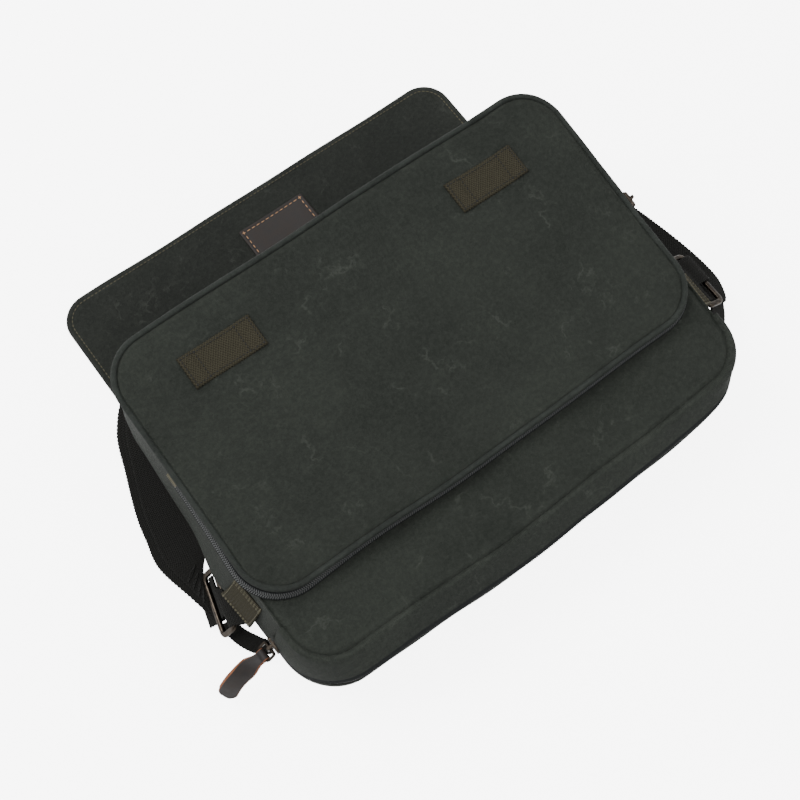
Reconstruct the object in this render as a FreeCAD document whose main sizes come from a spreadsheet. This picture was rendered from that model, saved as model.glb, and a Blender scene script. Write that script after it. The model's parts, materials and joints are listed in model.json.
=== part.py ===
import FreeCAD
import Part
import Sketcher
import math
import os

from FreeCAD import Placement, Rotation, Vector

# Messenger bag lying on its back: X runs along the bag's width, -Y is the mouth side,
# +Y is the bottom side, +Z is up out of the front pocket. Millimetres.

DIMENSIONS = [
    ("shift_x", "-3.801", "moves the whole bag so its box is centred on the origin"),
    ("shift_y", "-41.89", "the same along the bag's height"),
    ("canvas", "1.6", "two plies of waxed canvas and their filler"),
    ("lining_ply", "0.8", "lining cloth"),
    ("bag_width", "364", "front and back panel width"),
    ("bottom_y", "118", "outer face of the bottom gusset"),
    ("back_top_y", "-126", "top edge of the back panel"),
    ("back_z", "8.4", "outer face of the back panel above the floor"),
    ("back_length", "=bottom_y - back_top_y", "back panel height"),
    ("corner", "30", "corner radius of the panels"),
    ("front_top_y", "-124.4", "top seam of the front panel"),
    ("front_top_z", "69", "front face height at the top seam"),
    ("front_tilt", "5.9", "slope of the front panel in degrees"),
    ("front_length", "243.6", "front panel height along its slope"),
    ("gusset_length", "256", "plan length of the gusset loop before it is cut"),
    ("gusset_height", "100", "height of the gusset loop before it is cut"),
    ("gusset_end_y", "-78", "where the gusset gives way to the zip lips"),
    ("lip_centre_x", "139", "centre of the rounded mouth corners"),
    ("lip_centre_y", "-87", "the same along the bag's height"),
    ("front_lip_radius", "45", "outer corner radius of the front lip"),
    ("back_lip_radius", "41", "outer corner radius of the back lip"),
    ("chain_radius", "47", "outer corner radius of the mouth zip"),
    ("lip_loop_rest", "150", "straight length of the lip loops before they are cut"),
    ("front_lip_width", "=2 * (lip_centre_x + front_lip_radius)", "front lip loop width"),
    ("back_lip_width", "=2 * (lip_centre_x + back_lip_radius)", "back lip loop width"),
    ("chain_loop_width", "=2 * (lip_centre_x + chain_radius)", "zip loop width"),
    ("front_lip_length", "=lip_loop_rest + front_lip_radius", "front lip loop length"),
    ("back_lip_length", "=lip_loop_rest + back_lip_radius", "back lip loop length"),
    ("chain_loop_length", "=lip_loop_rest + chain_radius", "zip loop length"),
    ("front_lip_height", "10.4", "front lip"),
    ("back_lip_height", "24", "back lip"),
    ("tape_thickness", "2.5", "zip tape with its coil"),
    ("tape_height", "2.5", "half a zip chain"),
    ("lining_width", "356", "lining pouch"),
    ("lining_length", "190", "lining pouch"),
    ("lining_corner", "26", "lining pouch corner radius"),
    ("board_width", "300", "base board"),
    ("board_height", "60", "base board"),
    ("board_thickness", "2", "base board"),
    ("pocket_width", "364", "front pocket over its piping"),
    ("pocket_length", "196", "front pocket over its piping, along its slope"),
    ("pocket_corner", "33", "front pocket corner radius over its piping"),
    ("pocket_top_y", "-75.5", "mouth edge of the front pocket"),
    ("pocket_top_z", "82", "height of the piping's centre at the pocket's mouth edge"),
    ("pocket_tilt", "10.6", "slope of the pocket panel in degrees"),
    ("piping", "4.4", "piping diameter"),
    ("piping_width", "=pocket_width - piping", "piping centre line"),
    ("piping_length", "=pocket_length - piping", "piping centre line"),
    ("piping_corner", "=pocket_corner - piping / 2", "piping centre line"),
    ("panel_width", "=pocket_width - 2 * piping - 0.2", "pocket panel inside the piping"),
    ("panel_length", "=pocket_length - 2 * piping - 0.2", "pocket panel inside the piping"),
    ("panel_corner", "=pocket_corner - piping - 0.1", "pocket panel inside the piping"),
    ("pocket_wall_width", "=pocket_width - 4", "pocket gusset"),
    ("pocket_wall_length", "=pocket_length - 4", "pocket gusset"),
    ("pocket_wall_corner", "=pocket_corner - 2", "pocket gusset"),
    ("pocket_wall_height", "40", "pocket gusset before it is cut"),
    ("pocket_zip_width", "=pocket_wall_width + 4.2", "pocket zip round the gusset"),
    ("pocket_zip_length", "=pocket_wall_length + 4.2", "pocket zip round the gusset"),
    ("pocket_zip_corner", "=pocket_wall_corner + 2.1", "pocket zip round the gusset"),
    ("pocket_zip_wall", "2", "pocket zip tape with its coil"),
    ("pocket_zip_height", "5", "pocket zip tape with its coil"),
    ("patch_width", "55", "webbing patch over a magnet"),
    ("patch_length", "24", "webbing patch over a magnet"),
    ("patch_thickness", "1.8", "webbing patch over a magnet"),
    ("patch_corner", "1.5", "webbing patch over a magnet"),
    ("patch_x", "108", "webbing patch off the middle"),
    ("patch_v", "153.8", "webbing patch up the pocket's slope"),
    ("magnet_radius", "9", "hidden magnets"),
    ("magnet_height", "2", "hidden magnets"),
    ("flap_magnet_height", "1.2", "magnets let into the flap"),
    ("flap_width", "345", "flap"),
    ("flap_thickness", "2", "flap"),
    ("flap_root_y", "-117", "seam of the flap on the back panel"),
    ("flap_root_length", "29", "strip between the seam and the bag's top edge"),
    ("flap_top_length", "76", "part of the flap that crosses the mouth"),
    ("flap_front_length", "233.5", "part of the flap that hangs over the front"),
    ("flap_corner", "22", "corner radius of the flap's free edge"),
    ("flap_gap", "1.4", "cloth left bare on each side of a fold line"),
    ("label_width", "57", "leather label"),
    ("label_length", "38", "leather label"),
    ("label_thickness", "1.6", "leather label"),
    ("label_corner", "1.5", "leather label"),
    ("webbing", "38", "strap width"),
    ("webbing_thickness", "1.4", "strap thickness"),
    ("lower_strap_z", "2.4", "under side of the lower strap layer"),
    ("upper_strap_z", "5.4", "under side of the upper strap layer"),
    ("strap_y", "125", "middle of the straight hidden part of the strap"),
    ("strap_left_x", "-125", "start of the straight part"),
    ("strap_right_x", "140", "end of the straight part"),
    ("strap_length", "=strap_right_x - strap_left_x", "length of the straight part"),
    ("ring_gap", "39.5", "inner length of a strap ring"),
    ("ring_bar", "4", "bar width of a strap ring"),
    ("ring_thickness", "3.5", "bar thickness of a strap ring"),
    ("ring_pitch", "15", "distance between the two long bars"),
    ("ring_inner_width", "=ring_pitch - ring_bar", "opening of a strap ring"),
    ("ring_outer_width", "=ring_pitch + ring_bar", "strap ring over its bars"),
    ("ring_outer_length", "=ring_gap + 2 * ring_bar", "strap ring over its ends"),
    ("ring_outer_corner", "5.5", "strap ring outer corner radius"),
    ("ring_inner_corner", "1.8", "strap ring inner corner radius"),
    ("ring_edge", "1.3", "rounding of the ring's bars"),
    ("tab_width", "30", "webbing tab that holds a ring"),
    ("tab_thickness", "1.6", "webbing tab that holds a ring"),
    ("tab_bore", "3", "radius inside the tab's loop"),
    ("tab_height", "32", "part of the tab sewn to the gusset"),
    ("slider_length", "12", "zip slider along the zip"),
    ("slider_width", "9.5", "zip slider across the zip"),
    ("slider_plate", "1.4", "zip slider plate thickness"),
    ("slider_corner", "2.4", "zip slider corner radius"),
    ("bail_bore", "1.5", "radius of the eye in the slider's bail"),
    ("loop_wire", "1.6", "wire loop between the slider and its pull"),
    ("loop_length", "9.6", "wire loop, away from the slider"),
    ("loop_width", "12", "wire loop, along the pivot"),
    ("loop_inner_length", "=loop_length - 2 * loop_wire", "opening of the wire loop"),
    ("loop_inner_width", "=loop_width - 2 * loop_wire", "opening of the wire loop"),
    ("loop_corner", "2.2", "wire loop outer corner radius"),
    ("loop_inner_corner", "0.6", "wire loop inner corner radius"),
    ("pull_width", "13", "leather pull"),
    ("pull_length", "38", "wide part of the leather pull"),
    ("pull_thickness", "3.2", "two plies of leather"),
    ("pull_corner", "3.5", "leather pull corner radius"),
    ("rivet_radius", "2.4", "rivet through the pull"),
    ("rivet_length", "4.6", "rivet through the pull"),
]

doc = FreeCAD.newDocument("messenger_bag")
sheet = doc.addObject("Spreadsheet::Sheet", "dims")
for row, (alias, value, note) in enumerate(DIMENSIONS, start=1):
    sheet.set("A%d" % row, alias)
    sheet.set("B%d" % row, value)
    sheet.setAlias("B%d" % row, alias)
    sheet.set("C%d" % row, note)
doc.recompute()

nodes = []


def num(alias):
    return float(sheet.get(alias))


def bind(obj, **sizes):
    for name, expression in sizes.items():
        obj.setExpression(name, expression)


def keep(obj, name):
    obj.Label = name
    nodes.append(obj)
    return obj


def move(x, y, z, rotation=None):
    return Placement(Vector(x, y, z), rotation or Rotation())


def about(axis, degrees):
    return Rotation(Vector(*axis), degrees)


SHIFT = move(num("shift_x"), num("shift_y"), 0)


def origin_plane(body, role):
    return [o for o in body.Origin.OriginFeatures if o.Role == role][0]


def add_rounded_rectangle(sketch, tag, width, length, radius):
    w = num(width) / 2
    h = num(length) / 2
    r = num(radius)
    first = sketch.GeometryCount
    up = Vector(0, 0, 1)
    corners = [(w - r, r - h, -90), (w - r, h - r, 0), (r - w, h - r, 90), (r - w, r - h, 180)]
    sides = [
        ((r - w, -h), (w - r, -h)),
        ((w, r - h), (w, h - r)),
        ((w - r, h), (r - w, h)),
        ((-w, h - r), (-w, r - h)),
    ]
    for (start, end), (cx, cy, turn) in zip(sides, corners):
        sketch.addGeometry(Part.LineSegment(Vector(*start, 0), Vector(*end, 0)), False)
        circle = Part.Circle(Vector(cx, cy, 0), up, r)
        arc = Part.ArcOfCircle(circle, math.radians(turn), math.radians(turn + 90))
        sketch.addGeometry(arc, False)
    for k in range(4):
        line = first + 2 * k
        arc = line + 1
        following = first + (2 * k + 2) % 8
        sketch.addConstraint(Sketcher.Constraint("Tangent", line, 2, arc, 1))
        sketch.addConstraint(Sketcher.Constraint("Tangent", arc, 2, following, 1))
    for line in (first, first + 4):
        sketch.addConstraint(Sketcher.Constraint("Horizontal", line))
    for line in (first + 2, first + 6):
        sketch.addConstraint(Sketcher.Constraint("Vertical", line))
    for arc in (first + 3, first + 5, first + 7):
        sketch.addConstraint(Sketcher.Constraint("Equal", first + 1, arc))
    sketch.addConstraint(Sketcher.Constraint("Symmetric", first, 1, first + 4, 1, -1, 1))
    named = [
        ("radius", Sketcher.Constraint("Radius", first + 1, r), radius),
        ("across", Sketcher.Constraint("DistanceX", first + 6, 1, first + 2, 1, 2 * w), width),
        ("along", Sketcher.Constraint("DistanceY", first, 1, first + 4, 1, 2 * h), length),
    ]
    for name, constraint, alias in named:
        index = sketch.addConstraint(constraint)
        sketch.renameConstraint(index, tag + "_" + name)
        sketch.setExpression("Constraints." + tag + "_" + name, "dims." + alias)


def rounded_pad(name, height, outer, inner=None, placement=None, midplane=False):
    """A pad of a rounded rectangle centred on the body's origin, or of a closed loop."""
    body = doc.addObject("PartDesign::Body", name)
    sketch = body.newObject("Sketcher::SketchObject", name + "_outline")
    sketch.AttachmentSupport = [(origin_plane(body, "XY_Plane"), "")]
    sketch.MapMode = "FlatFace"
    add_rounded_rectangle(sketch, "outer", *outer)
    if inner:
        add_rounded_rectangle(sketch, "inner", *inner)
    pad = body.newObject("PartDesign::Pad", name + "_pad")
    pad.Profile = sketch
    bind(pad, Length="dims." + height)
    pad.Midplane = midplane
    body.Tip = pad
    sketch.Visibility = False
    body.Placement = SHIFT.multiply(placement or move(0, 0, 0))
    doc.recompute()
    return body


def box(name, sizes, placement):
    solid = doc.addObject("Part::Box", name)
    for prop, size in zip(("Length", "Width", "Height"), sizes):
        if isinstance(size, str):
            bind(solid, **{prop: "dims." + size})
        else:
            setattr(solid, prop, size)
    solid.Placement = SHIFT.multiply(placement)
    return solid


def cylinder(name, radius, height, placement):
    solid = doc.addObject("Part::Cylinder", name)
    for prop, size in (("Radius", radius), ("Height", height)):
        if isinstance(size, str):
            bind(solid, **{prop: "dims." + size})
        else:
            setattr(solid, prop, size)
    solid.Placement = SHIFT.multiply(placement)
    return solid


def cut(name, base, *tools):
    result = base
    for k, tool in enumerate(tools):
        step = doc.addObject("Part::Cut", name if k == len(tools) - 1 else name + "_step%d" % k)
        step.Base = result
        step.Tool = tool
        result = step
    doc.recompute()
    return result


def fuse(name, *parts):
    joined = doc.addObject("Part::MultiFuse", name)
    joined.Shapes = list(parts)
    joined.Refine = True
    doc.recompute()
    return joined


def side_word(side):
    return "left" if side < 0 else "right"


FRONT = move(0, num("front_top_y"), num("front_top_z"), about((1, 0, 0), num("front_tilt")))
POCKET = move(0, num("pocket_top_y"), num("pocket_top_z"), about((1, 0, 0), num("pocket_tilt")))
front_middle = FRONT.multiply(move(0, num("front_length") / 2, 0))
pocket_middle = POCKET.multiply(move(0, num("pocket_length") / 2, 0))
canvas = num("canvas")


def above_front(name, offset):
    """A big block standing on the front panel's plane, moved along its normal."""
    return box(name, (600, 600, 200), FRONT.multiply(move(-300, -200, offset)))


def below_front(name, offset):
    return box(name, (600, 600, 200), FRONT.multiply(move(-300, -200, offset - 200)))


def beyond(name, y):
    """A big block covering everything past a height along the bag, away from the mouth."""
    return box(name, (600, 600, 400), move(-300, y, -100))


def before(name, y):
    return box(name, (600, 600, 400), move(-300, y - 600, -100))


# ---- main body ------------------------------------------------------------------------
back_middle = (num("bottom_y") + num("back_top_y")) / 2
outline = ("bag_width", "back_length", "corner")
back_panel = rounded_pad("back_panel", "canvas", outline, None, move(0, back_middle, num("back_z")))
keep(back_panel, "back_panel")

outline = ("bag_width", "front_length", "corner")
front_panel = rounded_pad(
    "front_panel", "canvas", outline, None, front_middle.multiply(move(0, 0, -canvas))
)
keep(front_panel, "front_panel")

sheet_row = len(DIMENSIONS) + 1


def derived(alias, formula):
    """One more spreadsheet row, for a size that follows from the others."""
    global sheet_row
    sheet.set("A%d" % sheet_row, alias)
    sheet.set("B%d" % sheet_row, "=" + formula)
    sheet.setAlias("B%d" % sheet_row, alias)
    sheet_row += 1
    doc.recompute()
    return alias


def wall_inside(tag, outer, wall):
    """The three aliases of a loop one wall thickness inside another."""
    width, length, radius = outer
    return (
        derived(tag + "_in_width", "%s - 2 * %s" % (width, wall)),
        derived(tag + "_in_length", "%s - 2 * %s" % (length, wall)),
        derived(tag + "_in_radius", "%s - %s" % (radius, wall)),
    )


outer = ("bag_width", "gusset_length", "corner")
gusset_y = num("bottom_y") - num("gusset_length") / 2
gusset_loop = rounded_pad(
    "gusset_loop",
    "gusset_height",
    outer,
    wall_inside("gusset", outer, "canvas"),
    move(0, gusset_y, num("back_z") + canvas),
)
gusset = cut(
    "gusset_strip",
    gusset_loop,
    above_front("above_gusset", -canvas),
    before("gusset_mouth", num("gusset_end_y")),
)
keep(gusset, "gusset_strip")


def mouth_loop(name, radius_alias, width, length, height, wall, z, tilt, end_y, pivot_y):
    """A strip round three sides of the mouth, tilted about a line across the bag."""
    outer = (width, length, radius_alias)
    middle_y = num("lip_centre_y") - num(radius_alias) + num(length) / 2
    tilted = move(0, pivot_y, z, about((1, 0, 0), tilt))
    placement = tilted.multiply(move(0, middle_y - pivot_y, 0))
    loop = rounded_pad(name + "_loop", height, outer, wall_inside(name, outer, wall), placement)
    return keep(cut(name, loop, beyond(name + "_end", end_y)), name)


lip_end = num("gusset_end_y")
mouth_loop("front_zip_lip", "front_lip_radius", "front_lip_width", "front_lip_length",
           "front_lip_height", "canvas", 55.6, 0, lip_end - 0.3, lip_end)
mouth_loop("back_zip_lip", "back_lip_radius", "back_lip_width", "back_lip_length",
           "back_lip_height", "canvas", num("back_z") + canvas, 0, lip_end - 0.3, lip_end)
mouth_loop("main_zip_front_chain", "chain_radius", "chain_loop_width", "chain_loop_length",
           "tape_height", "tape_thickness", 47.0, -7, -79, num("lip_centre_y"))
mouth_loop("main_zip_back_chain", "chain_radius", "chain_loop_width", "chain_loop_length",
           "tape_height", "tape_thickness", 40.5, 10, -79, num("lip_centre_y"))

# ---- lining and base board --------------------------------------------------------------
outer = ("lining_width", "lining_length", "lining_corner")
lining_y = 113 - num("lining_length") / 2
lining_z = num("back_z") + canvas + 0.1
lining_block = rounded_pad("lining_block", "gusset_height", outer, None,
                           move(0, lining_y, lining_z))
inner = wall_inside("lining", outer, "lining_ply")
lining_hollow = rounded_pad("lining_hollow", "gusset_height", inner, None,
                            move(0, lining_y, lining_z + num("lining_ply")))
lining_pouch = cut("lining_pouch", lining_block, lining_hollow,
                   above_front("above_lining", -canvas - 1.2),
                   before("lining_mouth", num("gusset_end_y") + 22))
keep(lining_pouch, "lining_pouch")
lining_front = rounded_pad("lining_front", "lining_ply", ("lining_width", "lining_length",
                           "lining_corner"), None,
                           FRONT.multiply(move(0, 48 + num("lining_length") / 2, -canvas - 1.0)))
keep(lining_front, "lining_front")
base_board = box("base_board", ("board_width", "board_thickness", "board_height"),
                 move(-num("board_width") / 2, 113.6, 16))
keep(base_board, "base_board")

# ---- front pocket -----------------------------------------------------------------------
panel_base = pocket_middle.multiply(move(0, 0, 0.2))
pocket_panel = rounded_pad("pocket_panel", "canvas",
                           ("panel_width", "panel_length", "panel_corner"), None, panel_base)
keep(pocket_panel, "pocket_panel")


def swept_piping(name, width, length, radius, placement):
    """A round cord along a rounded rectangle, swept from a circle."""
    path = doc.addObject("Sketcher::SketchObject", name + "_path")
    add_rounded_rectangle(path, "path", width, length, radius)
    path.Placement = SHIFT.multiply(placement)
    profile = doc.addObject("Part::Circle", name + "_profile")
    bind(profile, Radius="dims.piping / 2")
    start = move(0, -num(length) / 2, 0, about((0, 1, 0), 90))
    profile.Placement = SHIFT.multiply(placement.multiply(start))
    doc.recompute()
    sweep = doc.addObject("Part::Sweep", name)
    sweep.Sections = [profile]
    sweep.Spine = (path, ["Edge%d" % k for k in range(1, 9)])
    sweep.Solid = True
    sweep.Frenet = True
    doc.recompute()
    return keep(sweep, name)


swept_piping("pocket_piping", "piping_width", "piping_length", "piping_corner", pocket_middle)

outer = ("pocket_wall_width", "pocket_wall_length", "pocket_wall_corner")
wall_base = pocket_middle.multiply(move(0, 0, -num("pocket_wall_height") - num("piping") / 2))
pocket_loop = rounded_pad("pocket_gusset_loop", "pocket_wall_height", outer,
                          wall_inside("pocket_gusset", outer, "canvas"), wall_base)
pocket_gusset = cut("pocket_gusset", pocket_loop, below_front("below_pocket", 0))
keep(pocket_gusset, "pocket_gusset")

outer = ("pocket_zip_width", "pocket_zip_length", "pocket_zip_corner")
zip_base = pocket_middle.multiply(move(0, 0, -num("piping") / 2 - 6.4))
zip_loop = rounded_pad("pocket_zip_loop", "pocket_zip_height", outer,
                       wall_inside("pocket_zip", outer, "pocket_zip_wall"), zip_base)
pocket_zip = cut("pocket_zip_chain", zip_loop, beyond("pocket_zip_end", 24),
                 below_front("below_pocket_zip", 0.1))
keep(pocket_zip, "pocket_zip_chain")

for side in (-1, 1):
    word = side_word(side)
    spot = POCKET.multiply(move(side * num("patch_x"), num("patch_v"), 0.2 + canvas))
    patch = rounded_pad("magnet_patch_" + word, "patch_thickness",
                        ("patch_width", "patch_length", "patch_corner"), None, spot)
    keep(patch, "magnet_patch_" + word)
    under = POCKET.multiply(
        move(side * num("patch_x"), num("patch_v"), 0.2 - num("magnet_height"))
    )
    magnet = cylinder("pocket_magnet_" + word, "magnet_radius", "magnet_height", under)
    keep(magnet, "pocket_magnet_" + word)

# ---- flap: three stiff lengths between fold lines ------------------------------------------
gap = num("flap_gap")
fold_1 = num("flap_root_y")
fold_2 = fold_1 + num("flap_root_length")
fold_3 = fold_2 + num("flap_top_length")
free_edge = fold_3 + num("flap_front_length")
derived("flap_root_cloth", "flap_root_length - 2 * flap_gap")
derived("flap_top_cloth", "flap_top_length - 2 * flap_gap")
left_x = -num("flap_width") / 2
root_strip = box("flap_root_strip", ("flap_width", "flap_root_cloth", "flap_thickness"),
                 move(left_x, fold_1 + gap, 0))
keep(root_strip, "flap_root_strip")
top_strip = box("flap_top_strip", ("flap_width", "flap_top_cloth", "flap_thickness"),
                move(left_x, fold_2 + gap, 0))
keep(top_strip, "flap_top_strip")
derived("flap_blank", "flap_front_length + 60")
blank = rounded_pad("flap_front_blank", "flap_thickness",
                    ("flap_width", "flap_blank", "flap_corner"), None,
                    move(0, free_edge - num("flap_blank") / 2, 0))
magnet_y = free_edge - 15
wells = []
for side in (-1, 1):
    word = side_word(side)
    spot = move(side * num("patch_x"), magnet_y, 0)
    wells.append(cylinder("flap_well_" + word, "magnet_radius", "flap_magnet_height", spot))
    magnet = cylinder("flap_magnet_" + word, "magnet_radius", "flap_magnet_height", spot)
    keep(magnet, "flap_magnet_" + word)
flap_front = cut("flap_front_panel", blank, before("flap_fold_cut", fold_3 + gap), *wells)
keep(flap_front, "flap_front_panel")
label = rounded_pad("leather_label", "label_thickness",
                    ("label_width", "label_length", "label_corner"), None,
                    move(2, 177, num("flap_thickness")))
keep(label, "leather_label")
derived("seam_height", "back_z - flap_thickness - 0.4")
seam = box("flap_seam_binding", ("flap_width", 8, "seam_height"),
           move(left_x, fold_1 - 1, num("flap_thickness") + 0.4))
keep(seam, "flap_seam_binding")

# ---- strap ---------------------------------------------------------------------------------


def strap_band(name, middle_line, z_alias, cutter):
    """A flat band of webbing that follows a curve in plan, cut off square at its end."""
    curve = Part.BSplineCurve()
    curve.interpolate([Vector(x, y, 0) for x, y in middle_line])
    half = num("webbing") / 2
    steps = 24
    edges = {-1: [], 1: []}
    for k in range(steps + 1):
        t = curve.FirstParameter + (curve.LastParameter - curve.FirstParameter) * k / steps
        point = curve.value(t)
        tangent = curve.tangent(t)[0]
        normal = Vector(-tangent.y, tangent.x, 0)
        for side in (-1, 1):
            edges[side].append(point.add(Vector(normal).multiply(side * half)))
    borders = []
    for side in (-1, 1):
        border = Part.BSplineCurve()
        border.interpolate(edges[side])
        borders.append(border.toShape())
    ends = [
        Part.LineSegment(edges[-1][0], edges[1][0]).toShape(),
        Part.LineSegment(edges[-1][-1], edges[1][-1]).toShape(),
    ]
    wire = Part.Wire(Part.sortEdges(borders + ends)[0])
    band = doc.addObject("Part::Feature", name + "_outline")
    band.Shape = Part.Face(wire)
    solid = doc.addObject("Part::Extrusion", name + "_uncut")
    solid.Base = band
    solid.DirMode = "Custom"
    solid.Dir = Vector(0, 0, 1)
    solid.Solid = True
    bind(solid, LengthFwd="dims.webbing_thickness")
    solid.Placement = SHIFT.multiply(move(0, 0, num(z_alias)))
    doc.recompute()
    return keep(cut(name, solid, cutter), name)


strap_y = num("strap_y")
x_left = num("strap_left_x")
x_right = num("strap_right_x")


def strap_cutter(name, x):
    """A block over the straight part of the strap, from x towards the bag's middle."""
    return box(name, (60, 120, 20), move(x if x < 0 else x - 60, strap_y - 60, 0))


strap_band("strap_left_lower", [(-201, -8), (-199.5, 12), (-191.5, 50), (-179, 84),
                                (-158, 113), (x_left, strap_y), (x_left + 20, strap_y)],
           "lower_strap_z", strap_cutter("cut_left_lower", x_left - 0.2))
strap_band("strap_left_upper", [(-196, -6), (-194, 12), (-186, 48), (-174, 81),
                                (-155, 109), (x_left, strap_y), (x_left + 20, strap_y)],
           "upper_strap_z", strap_cutter("cut_left_upper", x_left - 0.2))
strap_band("strap_right_run", [(217, -30), (218.5, -8), (211, 25), (198, 60), (180, 93),
                               (x_right, strap_y), (x_right - 20, strap_y)],
           "upper_strap_z", strap_cutter("cut_right_run", x_right + 0.2))
strap_start = strap_y - num("webbing") / 2
lower = box("strap_folded_layer", ("strap_length", "webbing", "webbing_thickness"),
            move(x_left, strap_start, num("lower_strap_z")))
keep(lower, "strap_folded_layer")
upper = box("strap_middle", ("strap_length", "webbing", "webbing_thickness"),
            move(x_left, strap_start, num("upper_strap_z")))
keep(upper, "strap_middle")

adjuster_x = x_left + 20
rails = []
half = num("webbing") / 2 + 0.4
for side in (-1, 1):
    y = strap_y + side * half + (0 if side > 0 else -3)
    rails.append(box("adjuster_rail_" + side_word(side), (30, 3, 5.7), move(adjuster_x, y, 2.4)))
bars = [(12.5, 5, 4.1), (0, 4, 7.1), (26, 4, 7.1)]
for k, (x, width, z) in enumerate(bars):
    rails.append(box("adjuster_bar_%d" % k, (width, 2 * half, 1.0),
                     move(adjuster_x + x, strap_y - half, z)))
keep(fuse("strap_adjuster", *rails), "strap_adjuster")

# ---- rings, their tabs and the sewn ends of the strap -----------------------------------------
RINGS = [
    # side, hinge x, ring middle y, hinge z, slope, turn, tab loop y, tab patch y,
    # leg x, leg y, leg z, leg slope
    (-1, 193.7, -35.3, 22.3, 55, -15.5, -39.5, -48.5, 193, -66, 9.5, 30),
    (1, 198, -49.5, 46, 30, 0, -54, -60, 196, -80, 29, 50),
]


def ring_frame(side, x, y, z, slope, turn):
    """Local X runs from the tab's bar to the strap's bar, local Y along the bars."""
    outward = about((0, 0, 1), turn).multiply(
        about((0, 0, 1), 180 if side < 0 else 0)
    )
    return move(side * x, y, z, outward.multiply(about((0, 1, 0), slope)))


def tube(name, frame, x, y, length, outer_radius, bore):
    """A tube along local Y."""
    lay = about((1, 0, 0), -90)
    outside = cylinder(name + "_outside", outer_radius, length,
                       frame.multiply(move(x, y - length / 2, 0, lay)))
    inside = cylinder(name + "_bore", bore, length + 2,
                      frame.multiply(move(x, y - length / 2 - 1, 0, lay)))
    return outside, inside


for side, x, y, z, slope, turn, tab_y, patch_y, leg_x, leg_y, leg_z, leg_slope in RINGS:
    word = side_word(side)
    frame = ring_frame(side, x, y, z, slope, turn)
    pitch = num("ring_pitch")
    outer = ("ring_outer_width", "ring_outer_length", "ring_outer_corner")
    inner = ("ring_inner_width", "ring_gap", "ring_inner_corner")
    ring = rounded_pad("strap_ring_" + word, "ring_thickness", outer, inner,
                       frame.multiply(move(pitch / 2, 0, 0)), midplane=True)
    pad = ring.Tip
    flat = [
        "Edge%d" % (k + 1)
        for k, edge in enumerate(pad.Shape.Edges)
        if abs(edge.Vertexes[0].Point.z - edge.Vertexes[-1].Point.z) < 1e-6
    ]
    rounding = ring.newObject("PartDesign::Fillet", "ring_rounding_" + word)
    rounding.Base = (pad, flat)
    bind(rounding, Radius="dims.ring_edge")
    ring.Tip = rounding
    doc.recompute()
    keep(ring, "strap_ring_" + word)

    # the strap's sewn end: under the far bar and up inside the ring
    end_outside, end_bore = tube("strap_end_" + word, frame, pitch, 0, num("webbing"), 4.4, 2.9)
    level = about((0, 1, 0), -slope / 2)
    flat_end = box("strap_end_flat_" + word, (12, "webbing", 2),
                   frame.multiply(move(pitch, 0, -3.8, level)).multiply(
                       move(0, -num("webbing") / 2, -1)))
    over = box("strap_end_over_" + word, (30, 60, 12), frame.multiply(move(pitch - 4.8, -30, 0.4)))
    end = cut("strap_end_" + word, fuse("strap_end_solid_" + word, end_outside, flat_end),
              end_bore, over)
    keep(end, "strap_end_" + word)

    # the tab: a patch on the gusset, a loop round the near bar and a leg to the back seam
    near = ring_frame(side, x, y, z, 0, turn).multiply(move(0, side * (tab_y - y), 0))
    loop, bore = tube("tab_loop_" + word, near, 0, 0, num("tab_width"),
                      num("tab_bore") + num("tab_thickness"), "tab_bore")
    wall_x = num("bag_width") / 2
    patch_z = z + num("tab_bore")
    if side < 0:
        patch_place = move(-wall_x - num("tab_thickness"), patch_y - num("tab_width") / 2, patch_z)
    else:
        patch_place = move(wall_x, patch_y - num("tab_width") / 2, patch_z)
    patch = box("tab_patch_" + word, ("tab_thickness", "tab_width", "tab_height"), patch_place)
    reach = x - wall_x + 1
    bridge = box("tab_bridge_" + word, (reach + 2, "tab_width", "tab_thickness"),
                 near.multiply(move(-reach - 1, -num("tab_width") / 2, num("tab_bore"))))
    tilt = about((0, 1, 0), leg_slope * side)
    leg = box("tab_leg_" + word, (24, 44, "tab_thickness"),
              move(side * leg_x, leg_y, leg_z, tilt).multiply(move(-12, -22, 0)))
    riser_length = abs(z - leg_z)
    riser = box("tab_riser_" + word, ("tab_thickness", "tab_width", riser_length),
                near.multiply(move(-num("tab_bore") - num("tab_thickness"),
                                   -num("tab_width") / 2, -riser_length)))
    inside_x = 0 if side > 0 else -wall_x
    inside = box("tab_inside_" + word, (wall_x, 400, 400), move(inside_x, -200, -100))
    whole = fuse("tab_solid_" + word, loop, patch, bridge, riser, leg)
    keep(cut("side_tab_" + word, whole, bore, inside), "side_tab_" + word)

# ---- sliders and pulls --------------------------------------------------------------------------
# Slider frame: local X along the zip, local Z away from the bag, local Y across the zip.


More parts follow.
